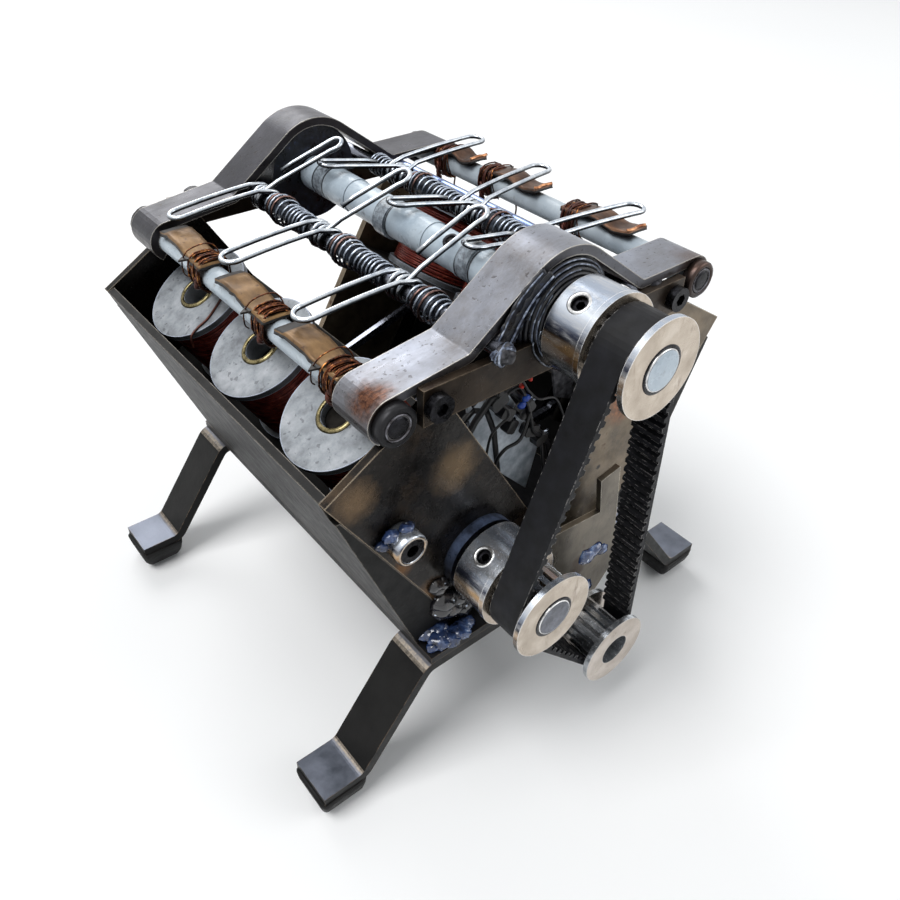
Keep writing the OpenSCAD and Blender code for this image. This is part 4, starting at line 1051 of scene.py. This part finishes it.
def spring(form, x, y0, y1, swell, open_end):
    turns = max(2, round((y1 - y0) / SPRING_PITCH))
    steps = 16
    path, tones = [], []
    for i in range(turns * steps + 1):
        t = i / steps
        share = i / (turns * steps)
        near = max(0, 1 - (turns - t) / 6)
        grow = sin(pi * min(1, near * 1.15)) if swell else 0
        r = SPRING_R + SWELL * grow + 0.07 * sin(t * 1.9 + x) - 0.25 * max(0, 1 - t / 3)
        a = 2 * pi * t
        lean = 0.16 * sin(a) * sin(t * 0.8)
        y = y0 + (y1 - y0) * (share + 0.012 * sin(t * 0.9)) + lean
        path.append(block_point(x + r * cos(a), y, SPRING_Z + r * sin(a)))
        tones.append(1 if swell and 1.4 < turns - t < 4.6 and int(t) % 2 == turns % 2 else 0)
    form.tube(path, SPRING_WIRE_R, 6, tones)
    # Dark sleeve under the curls, a painted shade inside the spring, short of the end where the bare rod shows
    stop = y1 - 0.8 if not open_end else y1 - 0.3 * (y1 - y0)
    start = y0 + 0.6 if y0 > -STRAP_BACK + 1 else y0 + 0.35 * (y1 - y0)
    low = end_frame(x, start, SPRING_Z, 1)
    ends = [(SPRING_ROD_R, 0), (SHADE_SLEEVE_R, 0.2), (SHADE_SLEEVE_R, stop - start - 0.2), (SPRING_ROD_R, stop - start)]
    form.lathe(ends, low, 16, 2, True)


def springs(side):
    starts = [-STRAP_BACK + 0.3] + [y + BUSH_HALF for y in PIVOT_Y[side]]
    stops = [y - BUSH_HALF for y in PIVOT_Y[side]] + [STRAP_BACK - 0.3]
    form = Form()
    last = len(starts) - 1
    for i, (y0, y1) in enumerate(zip(starts, stops)):
        if y1 - y0 > 3 * SPRING_PITCH:
            spring(form, side * SPRING_X, y0, y1, i < last, i == last)
    looks = ["spring_steel", "spring_copper", "spring_gap"]
    form.piece(f"{WORD[side]}_spring_curls", "block", looks, [f"{WORD[side]}_springs"])


# Windings: fine turns side by side on a darker core
TURN_R = 0.24
TURN_PITCH = 0.47
DRUM_GAP = 0.05


def winding(form, side, y, seed):
    length = COIL_L - 2 * WASHER_T
    place = bank_frame(side, y, COIL_TOP - COIL_L + WASHER_T)
    core = WINDING_R - 2.2 * TURN_R
    low, high = DRUM_GAP, length - DRUM_GAP
    drum = [(TUBE_R, low), (core, low), (core, high), (TUBE_R, high)]
    form.lathe(drum, place, 36, 0, True)
    turns = int((length - 2 * TURN_R) / TURN_PITCH)
    steps = 36
    path = []
    for i in range(turns * steps + 1):
        t = i / steps
        a = 2 * pi * t
        h = TURN_R + DRUM_GAP + TURN_PITCH * t + 0.12 * sin(a + seed) * sin(t * 2.3 + seed)
        r = WINDING_R - TURN_R - 0.1 + 0.16 * ripple(t * 0.7, seed, sin(a))
        path.append(place @ polar(r, a, h))
    form.tube(path, TURN_R, 5)


def windings(side):
    form = Form()
    for i, y in enumerate(ROW):
        winding(form, side, y, 2.0 * i + side)
    looks = ["red_winding"]
    form.piece(f"{WORD[side]}_coil_turns", "block", looks, [f"{WORD[side]}_windings"])


# Brass rims round the bores, with a ragged solder line
BORE_RIM = [
    (TUBE_R - 0.38, -0.6), (TUBE_R - 0.38, 0.22), (TUBE_R - 0.2, 0.36), (TUBE_R + 0.25, 0.3),
    (TUBE_R + 0.5, 0.03), (TUBE_R + 0.5, -0.2)
]


def bore_rims():
    form = Form()
    for side in (-1, 1):
        for y in ROW:
            place = bank_frame(side, y, COIL_TOP)
            form.lathe(BORE_RIM, place, 32, 0, True, wobble=0.03)
    form.piece("bore_rims", "block", ["brass"])


# Contact pads: a copper strip on a dark backing, bound to the rod at one end
PAD_W = 4.9
PAD_L = {-1: (17, 17, 17), 1: (17, 17, 11.9)}
PAD_ROOM = STRAP_BACK - 0.3
PAD_BOUND = {-1: (-0.996, -0.332, 0.403), 1: (-0.289, 0.517, 1.0)}
DARK_FROM = {-1: (25, 27, 26), 1: (None, None, None)}
PAD_T = 0.32
BACKING_T = 0.48
BIND_TURNS = (9, 6)
BIND_WIRE_R = 0.17
CURL_WIRE_R = 0.13
STRAND_R = 0.3
PAD_REST = 0.05
PAD_LIFT = 0.85
PAD_DIP = 0.8


# 0 up to start, then rising to 1 over a length
def part_way(share, start, length):
    return min(1, max(0, (share - start) / length))


# Height of a pad above the rod at a share of its length from the bound end
def pad_height(side, share):
    if side < 0:
        lift, dip = part_way(share, 0.3, 0.22), part_way(share, 0.8, 0.2)
    else:
        lift, dip = part_way(share, 0.12, 0.3), sin(pi * part_way(share, 0.5, 0.5)) ** 1.4
    return PAD_REST + PAD_LIFT * lift - PAD_DIP * dip


def pad(form, side, i):
    direction = 1 if side < 0 else -1
    y0 = PAD_BOUND[side][i] * PAD_ROOM
    length = PAD_L[side][i]
    rows, columns = 30, 8
    layers = []
    for lift, inset, jag in ((BACKING_T + PAD_T, 0, 0.12), (BACKING_T, 0, 0.12), (0.0, -0.15, 0.25)):
        grid = []
        for r in range(rows + 1):
            share = r / rows
            y = y0 + direction * length * share
            z = ROD_Z[side] + ROD_R + pad_height(side, share)
            row = []
            for c in range(columns + 1):
                v = 2 * c / columns - 1
                rough = jag * ripple(y * 0.8, v * 2, i + side)
                x = side * ROD_X + v * (PAD_W / 2 - inset) + (rough if abs(v) == 1 else 0)
                x += side * 0.35 * sin(share * 2.2 + i)
                twist = -0.1 * abs(ripple(y * 0.35, v, i))
                row.append(block_point(x, y + 0.3 * rough, z + lift - 0.1 * v * v + twist))
            grid.append(row)
        layers.append(grid)
    form.shell(layers[0], layers[1], 0, DARK_FROM[side][i], 1)
    form.shell(layers[1], layers[2], 1)
    if side > 0:
        # Bright lip bent up at the free end
        tip = y0 + direction * (length - 0.3)
        z = ROD_Z[side] + ROD_R + pad_height(side, 1) + BACKING_T + PAD_T
        path = [block_point(side * ROD_X + PAD_W * k, tip + 0.2 * sin(9 * k + i), z + 0.12) for k in
                (-0.48, -0.25, 0, 0.25, 0.48)]
        form.tube(curve(path, 4), 0.3, 8, 2, 0.6)


# Wire ties stand off the pad and the rod by a gap, and their corners are fuller than a circle's
TIE_GAP = 0.3
TIE_GAP_BELOW = 0.25
TIE_FULL = 0.7


def fuller(value):
    return copysign(abs(value) ** TIE_FULL, value)


def tie_ring(side, y, a, swell):
    # Round the rod below and flatter over the pad above
    half_w = PAD_W / 2 + TIE_GAP + swell
    if sin(a) < 0:
        half_w = half_w + (ROD_R + TIE_GAP - half_w) * min(1, -1.6 * sin(a))
    x = half_w * fuller(cos(a))
    up = ROD_R + BACKING_T + PAD_T + TIE_GAP + swell
    down = ROD_R + TIE_GAP_BELOW + swell
    z = (up if sin(a) > 0 else down) * fuller(sin(a))
    return block_point(side * ROD_X + x, y, ROD_Z[side] + z)


def binding(form, side, i, direction):
    y0 = PAD_BOUND[side][i] * PAD_ROOM
    for layer, turns in enumerate(BIND_TURNS):
        steps = 20
        path = []
        for k in range(turns * steps + 1):
            t = k / steps
            a = 2 * pi * t + 1.2 + layer
            swell = 0.3 * layer + 0.3 * abs(ripple(t * 1.7, i + 3.0 * side, layer))
            y = y0 + direction * (0.7 + 3.2 * (0.5 - 0.5 * cos(pi * t / turns * (2 + layer))))
            y += 0.6 * ripple(t * 2.3, i, side + layer)
            path.append(tie_ring(side, y, a, swell))
        form.tube(path, BIND_WIRE_R, 6, layer)
    # A loose curl of the binding above the pad
    curl = []
    for k in range(9):
        a = 0.3 + 0.42 * k
        lift = 0.5 + 0.7 * sin(k * 0.45)
        curl.append(tie_ring(side, y0 + direction * (3.9 + 0.28 * k + 0.5 * sin(k)), a, lift))
    form.tube(curve(curl, 5), CURL_WIRE_R, 6)
    tab = side * ROD_X + side * (PAD_W / 2 + 0.1)
    outline = [(0, 0), (1.9 * side, 0.5), (0.2 * side, 1.9)]
    place = Matrix.Translation(block_point(tab, y0 + direction * 3.9, ROD_Z[side] + ROD_R + 0.4))
    form.prism(outline, 0.35, place, 3)


def pigtail(form, side, i, direction):
    y0 = PAD_BOUND[side][i] * PAD_ROOM + direction * 1.9
    bore = bank_point(side, 1.6, ROW[i] - 3.0, COIL_TOP + 0.6)
    if side < 0:
        start = block_point(-ROD_X - PAD_W / 2 - 0.1, y0, ROD_Z[side] + 0.3)
        way = [
            start, start + Vector((-0.1, 0.3, -2.0)), (start + bore) / 2 + Vector((-0.8, 0.4, -0.5)),
            bore + Vector((-0.9, -0.9, 1.4)), bore
        ]
    else:
        start = block_point(ROD_X - PAD_W / 2 - 0.4, y0, ROD_Z[side] + 0.6)
        way = [
            start, start + Vector((-0.2, -0.2, -2.6)), start + Vector((0.5, 0.3, -5.2)),
            start + Vector((-0.4, 0.4, -8.4))
        ]
    line = curve(way, 12)
    for strand in range(3):
        path = [p + polar(1, k * 0.5 + 2.1 * strand, 0) * 0.36 for k, p in enumerate(line)]
        form.tube(path, STRAND_R, 6, 2)


def contact_gear(side):
    direction = 1 if side < 0 else -1
    pads = Form()
    ties = Form()
    for i in range(3):
        pad(pads, side, i)
        binding(ties, side, i, direction)
        pigtail(ties, side, i, direction)
    looks = ["copper_pad" if side < 0 else "burnt_pad", "pad_backing", "pad_lip"]
    pads.piece(f"{WORD[side]}_pad_strips", "block", looks, [f"{WORD[side]}_contact_pads"])
    looks = ["copper_wire", "copper_wire" if side < 0 else "pigtail_wire", "pigtail_wire", "pad_backing"]
    ties.piece(f"{WORD[side]}_pad_bindings", "block", looks, [f"{WORD[side]}_pad_wraps"])


# Rubber feet: soft blocks with rounded soles, snug under the straps
FOOT_CORNER = 1.2
FOOT_LEVELS = [(1.0, 1.0), (0.97, 0.72), (0.9, 0.42), (0.76, 0.16), (0.6, 0.04), (0.42, 0.0)]


def rounded_square(half, corner, steps=5):
    out = []
    for quarter, (sx, sy) in enumerate(((1, 1), (-1, 1), (-1, -1), (1, -1))):
        for k in range(steps + 1):
            a = radians(90 * (quarter + k / steps))
            out.append((sx * (half - corner) + corner * cos(a), sy * (half - corner) + corner * sin(a)))
    return out


def feet():
    low, high = box_mm("rubber_feet")
    tall = high[2] - low[2]
    form = Form()
    for sx, sy in ((-1, -1), (1, -1), (-1, 1), (1, 1)):
        x = low[0] + FOOT_HALF if sx < 0 else high[0] - FOOT_HALF
        y = low[1] + FOOT_HALF if sy < 0 else high[1] - FOOT_HALF
        points = []
        for share, level in FOOT_LEVELS:
            for u, v in rounded_square(FOOT_HALF * share, FOOT_CORNER * share):
                lump = 1 - 0.03 * abs(ripple(u * 0.5 + sx, v * 0.5 + sy, level * 2))
                points.append(Vector((x + u * lump, y + v * lump, low[2] + tall * level)))
        n = len(points) // len(FOOT_LEVELS)
        faces = [list(range(n)), list(range(len(points) - n, len(points)))[::-1]]
        form.add(points, faces + quads(len(FOOT_LEVELS), n))
    form.piece("soft_feet", "block", ["foot_rubber"], ["rubber_feet"])


# Camshaft bearing faces: wound tape in ragged layers round the shaft, thin wires in front
TAPE_LAYERS = [
    (9.1, 39.3, 0.0), (8.5, 39.8, 40.0), (7.9, 40.3, 80.0), (7.3, 40.7, 130.0), (6.7, 41.1, 200.0),
    (6.1, 41.4, 260.0), (5.6, 41.6, 320.0)
]
TAPE_BACK = 38.7
REAR_TAPE_END = 40.8


def bearing_tapes():
    form = Form()
    for sign in (-1, 1):
        place = end_frame(CAM.x, 0, CAM.z, sign)
        for r, y, start in TAPE_LAYERS:
            if sign > 0 and y > REAR_TAPE_END:
                continue
            inner = r - 0.62
            band = [(inner, TAPE_BACK), (inner, y - 0.05), (r - 0.3, y + 0.08), (r, y - 0.1), (r, TAPE_BACK)]
            form.lathe(band, place, 44, 0, True, wobble=0.035)
            # Torn edge along part of the layer, pale as a painted glint
            path = []
            for k in range(15):
                a = radians(start + 9 * k)
                rr = r - 0.28 + 0.16 * ripple(k * 0.7, r, sign)
                path.append(place @ polar(rr, a, y + 0.02))
            form.tube(path, 0.13, 5, 1)
    form.piece("bearing_tapes", "block", ["bearing_dark", "torn_tape"])


# Tape from the hump down the strap's slope to a knot on the spring rod's end
SLOPE_TAPE = [(-5.5, 95.2), (-8.6, 93.0), (-10.9, 90.4), (-12.6, 87.6), (-13.6, 86.2)]
KNOT = (-14.0, -41.4, 85.2)
# Shift, place along Y, radius, flatness and tone of each strand
STRANDS = [
    (0.2, -39.6, 1.5, 0.28, 0), (1.3, -39.9, 1.3, 0.28, 0), (-0.75, -39.9, 0.13, 1, 1),
    (1.1, -40.35, 0.16, 1, 1), (2.0, -40.0, 0.12, 1, 1)
]


def slope_tape():
    form = Form()
    for strand, (shift, y, r, flat, tone) in enumerate(STRANDS):
        path = []
        for k, (x, z) in enumerate(SLOPE_TAPE):
            wave = 0.3 * ripple(k * 0.9, strand, 0)
            path.append(block_point(x + shift + wave, y + 0.5 * wave, z - 0.5 * shift - 0.5 + wave))
        line = curve(path, 8)
        radii = [r * (1 + 0.25 * ripple(k * 0.4, strand, 2)) for k in range(len(line))]
        # strands with tone 1 are thin pale lines: painted glints along the tape
        form.tube(line, radii, 8, tone, flat, (1, 0, 0.4))
    form.piece("slope_tape", "block", ["bearing_dark", "torn_tape"])
    knot = Form()
    x, y, z = KNOT
    for k in range(5):
        shift = Vector((random.uniform(-0.7, 0.7), random.uniform(-0.4, 0.2), random.uniform(-0.7, 0.7)))
        knot.blob(block_point(x, y, z) + shift, (1.35, 1.0, 1.35), 0.3, 12, 0, 3.0 * k)
    for k in range(4):
        turn = frame_at(block_point(x, y + 0.1 * k, z), (0.3 * k - 0.4, 1, 0.25 * k), (1, 0, 0))
        ring = arc_points(Vector(), Vector((1, 0, 0)), Vector((0, 1, 0)), 1.75, 0, 330, 20)
        knot.tube([turn @ p for p in ring], 0.2, 6, 1)
    knot.piece("slope_knot", "block", ["knot_grey", "torn_tape"])


# Thin wires looped under the camshaft in front of the bearing
WIRE_LOOPS = [(5.3, 41.3, 170, 330), (6.1, 41.6, 185, 300), (7.0, 41.5, 175, 290), (8.0, 41.0, 190, 275)]


def bearing_loops():
    form = Form()
    for r, y, start, stop in WIRE_LOOPS:
        path = []
        for k in range(19):
            a = radians(start + (stop - start) * k / 18)
            rr = r + 0.35 * ripple(k * 0.35, r, 1)
            path.append(block_point(CAM.x + rr * cos(a), -y + 0.2 * sin(k * 0.8), CAM.z + rr * sin(a)))
        form.tube(path, 0.16, 6, 0)
    form.piece("bearing_wire_loops", "block", ["spring_steel"])


# Pale collar on the camshaft in front of the cross strip, and thin collars round both shaft ends
COLLAR = [
    (SHAFT_R - 0.1, 40.85), (4.3, 40.85), (4.5, 41.0), (4.5, 41.7), (4.2, 42.15), (SHAFT_R - 0.1, 42.15)
]
GRUB_Y = 45.65
GRUB_R = 7.7
GRUB_ANGLES = (125, 35)
GRUB_SEAT = [(1.3, -0.5), (1.3, -0.02), (1.62, 0.13), (1.85, 0.02), (1.9, -0.5)]
BORE_SHADOW = [(3.35, -0.2), (3.35, 0.05), (3.95, 0.04), (3.95, -0.2)]
SHAFT_RING = [(SHAFT_R - 0.02, -0.1), (SHAFT_R - 0.02, 0.27), (3.32, 0.27), (3.42, 0.14), (3.42, -0.1)]


def shaft_details():
    collar = Form()
    place = end_frame(CAM.x, 0, CAM.z)
    collar.lathe(COLLAR, place, 40, 0, True)
    collar.piece("cam_collar", "cam", ["cam_sleeve"])
    for body, centre in (("cam", CAM), ("crank", CRANK)):
        rims = Form()
        place = end_frame(centre.x, -PULLEY_FRONT, centre.z)
        rims.lathe(BORE_SHADOW, place, 48, 1, True)
        rims.lathe(SHAFT_RING, place, 48, 0, True)
        for angle in GRUB_ANGLES:
            a = radians(angle)
            out = Vector((cos(a), 0, sin(a)))
            point = block_point(centre.x, -GRUB_Y, centre.z) + out * GRUB_R
            rims.lathe(GRUB_SEAT, frame_at(point, out, (0, 1, 0)), 32, 0, True)
        rims.piece(f"{body}_rims", body, ["bright_rim", "black_screw"])


# Camshaft grub screw, flush in its sleeve, and the small white block beside it
CAM_GRUB_Y = -13.8
CAM_BLOCK_Y = -15.6
CAM_GRUB = [(0.75, -0.5), (0.75, 0.12), (1.0, 0.3), (1.35, 0.22), (1.45, -0.3)]
CAM_SOCKET = [(0.0, 0.02), (0.72, 0.02), (0.72, -0.4), (0.0, -0.4)]
CAM_BLOCK = [(-1.3, -0.7), (1.1, -0.75), (1.3, -0.4), (1.25, 0.6), (-1.2, 0.7)]


def cam_grub():
    form = Form()
    axis = Vector((-0.5, 0, 0.87))
    place = frame_at(block_point(CAM.x, CAM_GRUB_Y, CAM.z) + axis * 3.2, axis, (0, 1, 0))
    form.lathe(CAM_GRUB, place, 24, 0, True)
    form.lathe(CAM_SOCKET, place, 20, 1)
    form.piece("cam_grub_screw", "cam", ["black_screw", "pad_backing"])
    block = Form()
    axis = Vector((0.3, 0, 0.95))
    place = frame_at(block_point(CAM.x, CAM_BLOCK_Y, CAM.z) + axis * 3.15, axis, (0.2, 1, 0))
    block.prism(CAM_BLOCK, 0.45, place)
    block.piece("cam_block", "cam", ["cam_sleeve"], bevel=0.12)


# Cable along the right spring rod, outside the springs
SIDE_CABLE = [
    (20.6, -36.0, 83.35), (20.8, -30.0, 83.35), (21.0, -12.0, 83.45), (21.1, 6.0, 83.35),
    (20.8, 20.0, 83.45), (20.7, 30.0, 83.35), (20.6, 36.0, 83.35)
]
CABLE_R = 1.2


def side_cable():
    form = Form()
    line = curve([block_point(*p) for p in SIDE_CABLE], 8)
    radii = [CABLE_R + 0.06 * ripple(k * 0.3, 0, 0) for k in range(len(line))]
    form.tube(line, radii, 14)
    form.piece("side_cable", "block", ["blue_sheath"])


# Contact rods' ends: dark caps with bright rims, inside cuffs curled from the straps' ends
CAP_Y = 40.95
CAP = [(0.0, 0.12), (1.2, 0.16), (1.75, 0.1), (1.9, -0.6), (0.0, -0.6)]
CAP_RIM = [(1.95, -0.8), (1.95, 0.16), (2.08, 0.24), (2.24, 0.12), (2.26, -1.6), (2.0, -1.6)]
CUFF = [(2.3, 39.0), (2.3, 41.0), (2.6, 41.15), (3.1, 41.05), (3.3, 40.8), (3.3, 39.0)]


def rod_ends():
    caps = Form()
    cuffs = Form()
    for side in (-1, 1):
        for sign in (-1, 1):
            place = end_frame(side * ROD_X, sign * CAP_Y, ROD_Z[side], sign)
            caps.lathe(CAP, place, 28, 0)
            caps.lathe(CAP_RIM, place, 32, 1, True, wobble=0.03)
            place = end_frame(side * ROD_X, 0, ROD_Z[side], sign)
            # right cuffs take the darker strap copy, a painted shade
            cuffs.lathe(CUFF, place, 40, 0 if side < 0 else 1, True, wobble=0.03)
    caps.piece("rod_end_caps", "block", ["black_screw", "rod_rim"])
    cuffs.piece("rod_cuffs", "block", ["dark_steel", "rear_strap_steel"])


# Hot glue: lumpy beads at the crank, the bracket and along the base plate's front
GLUE_BASE = [
    (-25.2, -38.6, 1.9), (-24.4, -41.4, 2.0), (-22.6, -42.4, 1.7), (-20.4, -42.0, 1.9), (-18.4, -41.2, 1.5),
    (-23.6, -39.6, 2.2), (-26.2, -41.8, 1.2)
]
GLUE_CRANK = [(-20.16, 7.192, 4.5), (-16.8, 3.944, 3.15), (-22.96, 12.064, 2.7)]
GLUE_BRACKET = [(-2.4, 46.4, 1.5), (-0.4, 46.8, 1.3), (1.6, 45.6, 1.0), (-2.6, 38.3, 2.0)]


def glue_lumps():
    form = Form()
    for k, (x, rise, r) in enumerate(GLUE_CRANK):
        z = BASE_TOP + rise
        out = Vector((x - CRANK.x, 0, z - CRANK.z)).normalized()
        for m in range(4):
            shift = Vector((random.uniform(-0.35, 0.35), 0, random.uniform(-0.35, 0.35))) * r
            shift += out * 0.25 * r
            size = (0.62 * r, 0.5 * r, 0.55 * r)
            form.blob(block_point(x, -PLATE_OUT, z) + shift, size, 0.22, 16, 1, 5.0 * k + m)
    for k, (x, y, r) in enumerate(GLUE_BASE):
        form.blob(block_point(x, y, BASE_TOP + 0.3 * r), (1.25 * r, r, 0.75 * r), 0.28, 18, 0, 2.0 * k)
    for k, (x, z, r) in enumerate(GLUE_BRACKET):
        form.blob(block_point(x, -BRACKET_FRONT, z), (1.3 * r, 0.55 * r, r), 0.28, 18, 0, 9.0 + 2.0 * k)
    form.blob(block_point(19.4, -41.5, 33.0), (1.6, 1.6, 3.6), 0.4, 16, 0, 31.0)
    form.piece("glue_lumps", "block", ["blue_glue", "dark_glue"], ["glue_beads"])


# Spacer nut on the left plate: polished sleeve with glue on top
NUT = (-31.8, -39.2, 57.9)
NUT_SLEEVE = [(2.15, 0.0), (2.15, 3.9), (2.3, 4.15), (2.7, 4.1), (2.9, 3.8), (2.9, 0.0)]
NUT_GLUE = [(-1.9, -1.2, 2.2, 1.2), (0.6, -1.8, 2.9, 1.0), (-2.9, -0.6, 0.4, 1.1)]


def spacer_nut():
    form = Form()
    x, y, z = NUT
    place = end_frame(x, y, z)
    form.lathe(NUT_SLEEVE, place, 32, 0, True)
    for k, (dx, dy, dz, r) in enumerate(NUT_GLUE):
        form.blob(block_point(x + dx, y + dy, z + dz), (r * 1.4, r, r * 0.7), 0.4, 14, 1, 41.0 + k)
    form.piece("spacer_sleeve", "block", ["pulley_metal", "blue_glue"])


# Notch between the banks: plates, small connectors and thin wires
NOTCH_PALE = [(-12.5, 71.5), (-3.5, 69.0), (6.0, 54.5), (3.6, 43.5), (-4.4, 52.0), (-11.0, 61.0)]
NOTCH_DARK = [(7.3, 69.0), (14.3, 65.2), (15.0, 59.4), (8.9, 62.6)]
CONNECTORS = [
    (-7.6, 70.2, 3.4, 2.4, 25), (-5.6, 66.9, 3.0, 2.2, -35), (-1.1, 65.8, 3.6, 2.3, 30),
    (0.7, 60.4, 3.2, 2.2, -20), (-4.3, 63.6, 2.6, 2.0, 60), (3.4, 57.2, 2.8, 1.9, 10)
]
NOTCH_WIRES = [
    ((-13.5, 71.8), (-9.0, 73.0), (-7.6, 70.2), (-5.6, 66.9), (-8.8, 63.4), (-9.6, 55.0)),
    ((-7.6, 70.2), (-3.4, 71.4), (-1.1, 65.8), (0.8, 60.4), (3.6, 57.0), (5.0, 48.0)),
    ((-12.0, 73.4), (-5.0, 74.0), (-2.0, 70.5), (1.5, 67.0), (5.6, 65.4), (8.0, 60.0)),
    ((-1.1, 65.8), (-3.4, 61.5), (-6.5, 60.2), (-8.0, 57.0), (-7.4, 50.0))
]
NOTCH_BITS = [(-2.9, 67.8, 2), (-2.0, 68.9, 2), (-3.4, 71.9, 3), (-1.6, 72.6, 3), (-2.6, 73.2, 3)]
PLATE_T = 0.7
CONNECTOR_DEEP = 1.8
CONNECTOR_CORNER = 0.35
PLATES_Y = -31.4
CONNECTORS_Y = -33.2
WIRES_Y = -34.6
BITS_Y = -35.2
BIT_SIZE = {2: (0.9, 0.5, 0.7), 3: (0.45, 0.5, 0.4)}


def notch():
    plates = Form()
    place = end_frame(0, PLATES_Y, 0)
    plates.prism(NOTCH_PALE, PLATE_T, place, 0)
    plates.prism(NOTCH_DARK, PLATE_T, place, 1)
    plates.piece("notch_plates", "block", ["grey_bit", "knot_grey"], bevel=0.15)
    bits = Form()
    for k, (x, z, w, h, turn) in enumerate(CONNECTORS):
        flip = Matrix.Rotation(radians(turn), 4, "Z")
        place = end_frame(x, CONNECTORS_Y, z) @ flip
        w, h = w / 2, h / 2
        c = CONNECTOR_CORNER
        outline = [
            (-w + c, -h), (w - c, -h), (w, -h + c), (w, h - c), (w - c, h), (-w + c, h), (-w, h - c),
            (-w, -h + c)
        ]
        bits.prism(outline, CONNECTOR_DEEP, place, 0)
        for pin in (-0.5, 0.5):
            ends = [place @ Vector((x, pin, CONNECTOR_DEEP / 2)) for x in (w - 0.1, w + 0.9)]
            bits.tube(ends, 0.22, 6, 1)
    for k, way in enumerate(NOTCH_WIRES):
        y = WIRES_Y - 0.35 * k
        path = [block_point(x, y + 0.5 * sin(m * 1.7 + k), z) for m, (x, z) in enumerate(way)]
        bits.tube(curve(path, 7), 0.33 if k % 2 else 0.24, 7, 0)
    for x, z, tone in NOTCH_BITS:
        bits.blob(block_point(x, BITS_Y, z), BIT_SIZE[tone], 0.2, 10, tone, x)
    looks = ["black_lead", "spring_steel", "blue_bit", "red_bit"]
    bits.piece("notch_connectors", "block", looks)


# Fine wires that trail over the coils and hang from the right pads
TRAIL_R = 0.2
TRAIL_ROUTE = [
    (3.6, 18.2, 0.22), (2.0, 17.0, 0.22), (-2.3, 15.6, 0.22), (-4.9, 15.7, 0.22), (-6.9, 15.3, 0.1),
    (-8.0, 14.9, -1.6)
]
TRAIL_DROPS = [(8.5, 6.0), (-9.5, 7.5), (29.0, 5.0)]


def trailing_wires():
    form = Form()
    line = [bank_point(-1, u, y, COIL_TOP + s) for u, y, s in TRAIL_ROUTE]
    form.tube(curve(line, 8), TRAIL_R, 6)
    for y, drop in TRAIL_DROPS:
        start = block_point(ROD_X + 1.2, y, ROD_Z[1] - 1.6)
        steps = ((0, 0, 0), (0.9, -0.4, -drop * 0.4), (0.3, -1.0, -drop * 0.8), (1.0, -1.6, -drop))
        form.tube(curve([start + Vector(p) for p in steps], 6), TRAIL_R, 6)
    form.piece("trailing_wires", "block", ["pigtail_wire"])


# Black knobs on the straps beside the humps
KNOBS = [(22.2, -38.0, 83.4, 2.0), (-22.5, 40.3, 83.6, 1.9), (22.2, 38.0, 83.4, 1.9)]


def knobs():
    form = Form()
    for x, y, z, r in KNOBS:
        place = Matrix.Translation(block_point(x, y, z))
        side = [(0.0, 1.5), (r * 0.62, 1.45), (r * 0.9, 1.1), (r, 0.6), (r, -0.9), (0.0, -0.9)]
        form.lathe(side, place, 20, 0, wobble=0.12)
        form.blob(block_point(x + 0.7, y + 0.5, z - 0.3), (r * 0.9, r * 0.7, 1.1), 0.35, 12, 0, x)
    form.piece("strap_knobs", "block", ["black_screw"])


# Floor
def make_floor():
    size = 4000
    points = [(x * size * MM, y * size * MM, 0) for x, y in ((-1, -1), (1, -1), (1, 1), (-1, 1))]
    mesh = bpy.data.meshes.new("floor")
    mesh.from_pydata(points, [], [[0, 1, 2, 3]])
    f = Finish("floor_pale", 0.0, 0.9)
    f.set("Base Color", f.cloud((400, 2), (0.3, (0.9, 0.9, 0.9, 1)), (0.7, (0.93, 0.93, 0.93, 1))))
    mesh.materials.append(f.material)
    floor = add_object("floor", mesh)


make_camera()
make_light()
dress_frame()
for side in (-1, 1):
    for i in range(3):
        rocker(side, i)
    springs(side)
    windings(side)
    contact_gear(side)
bore_rims()
feet()
bearing_tapes()
slope_tape()
bearing_loops()
shaft_details()
cam_grub()
rod_ends()
side_cable()
glue_lumps()
spacer_nut()
notch()
trailing_wires()
knobs()
make_floor()
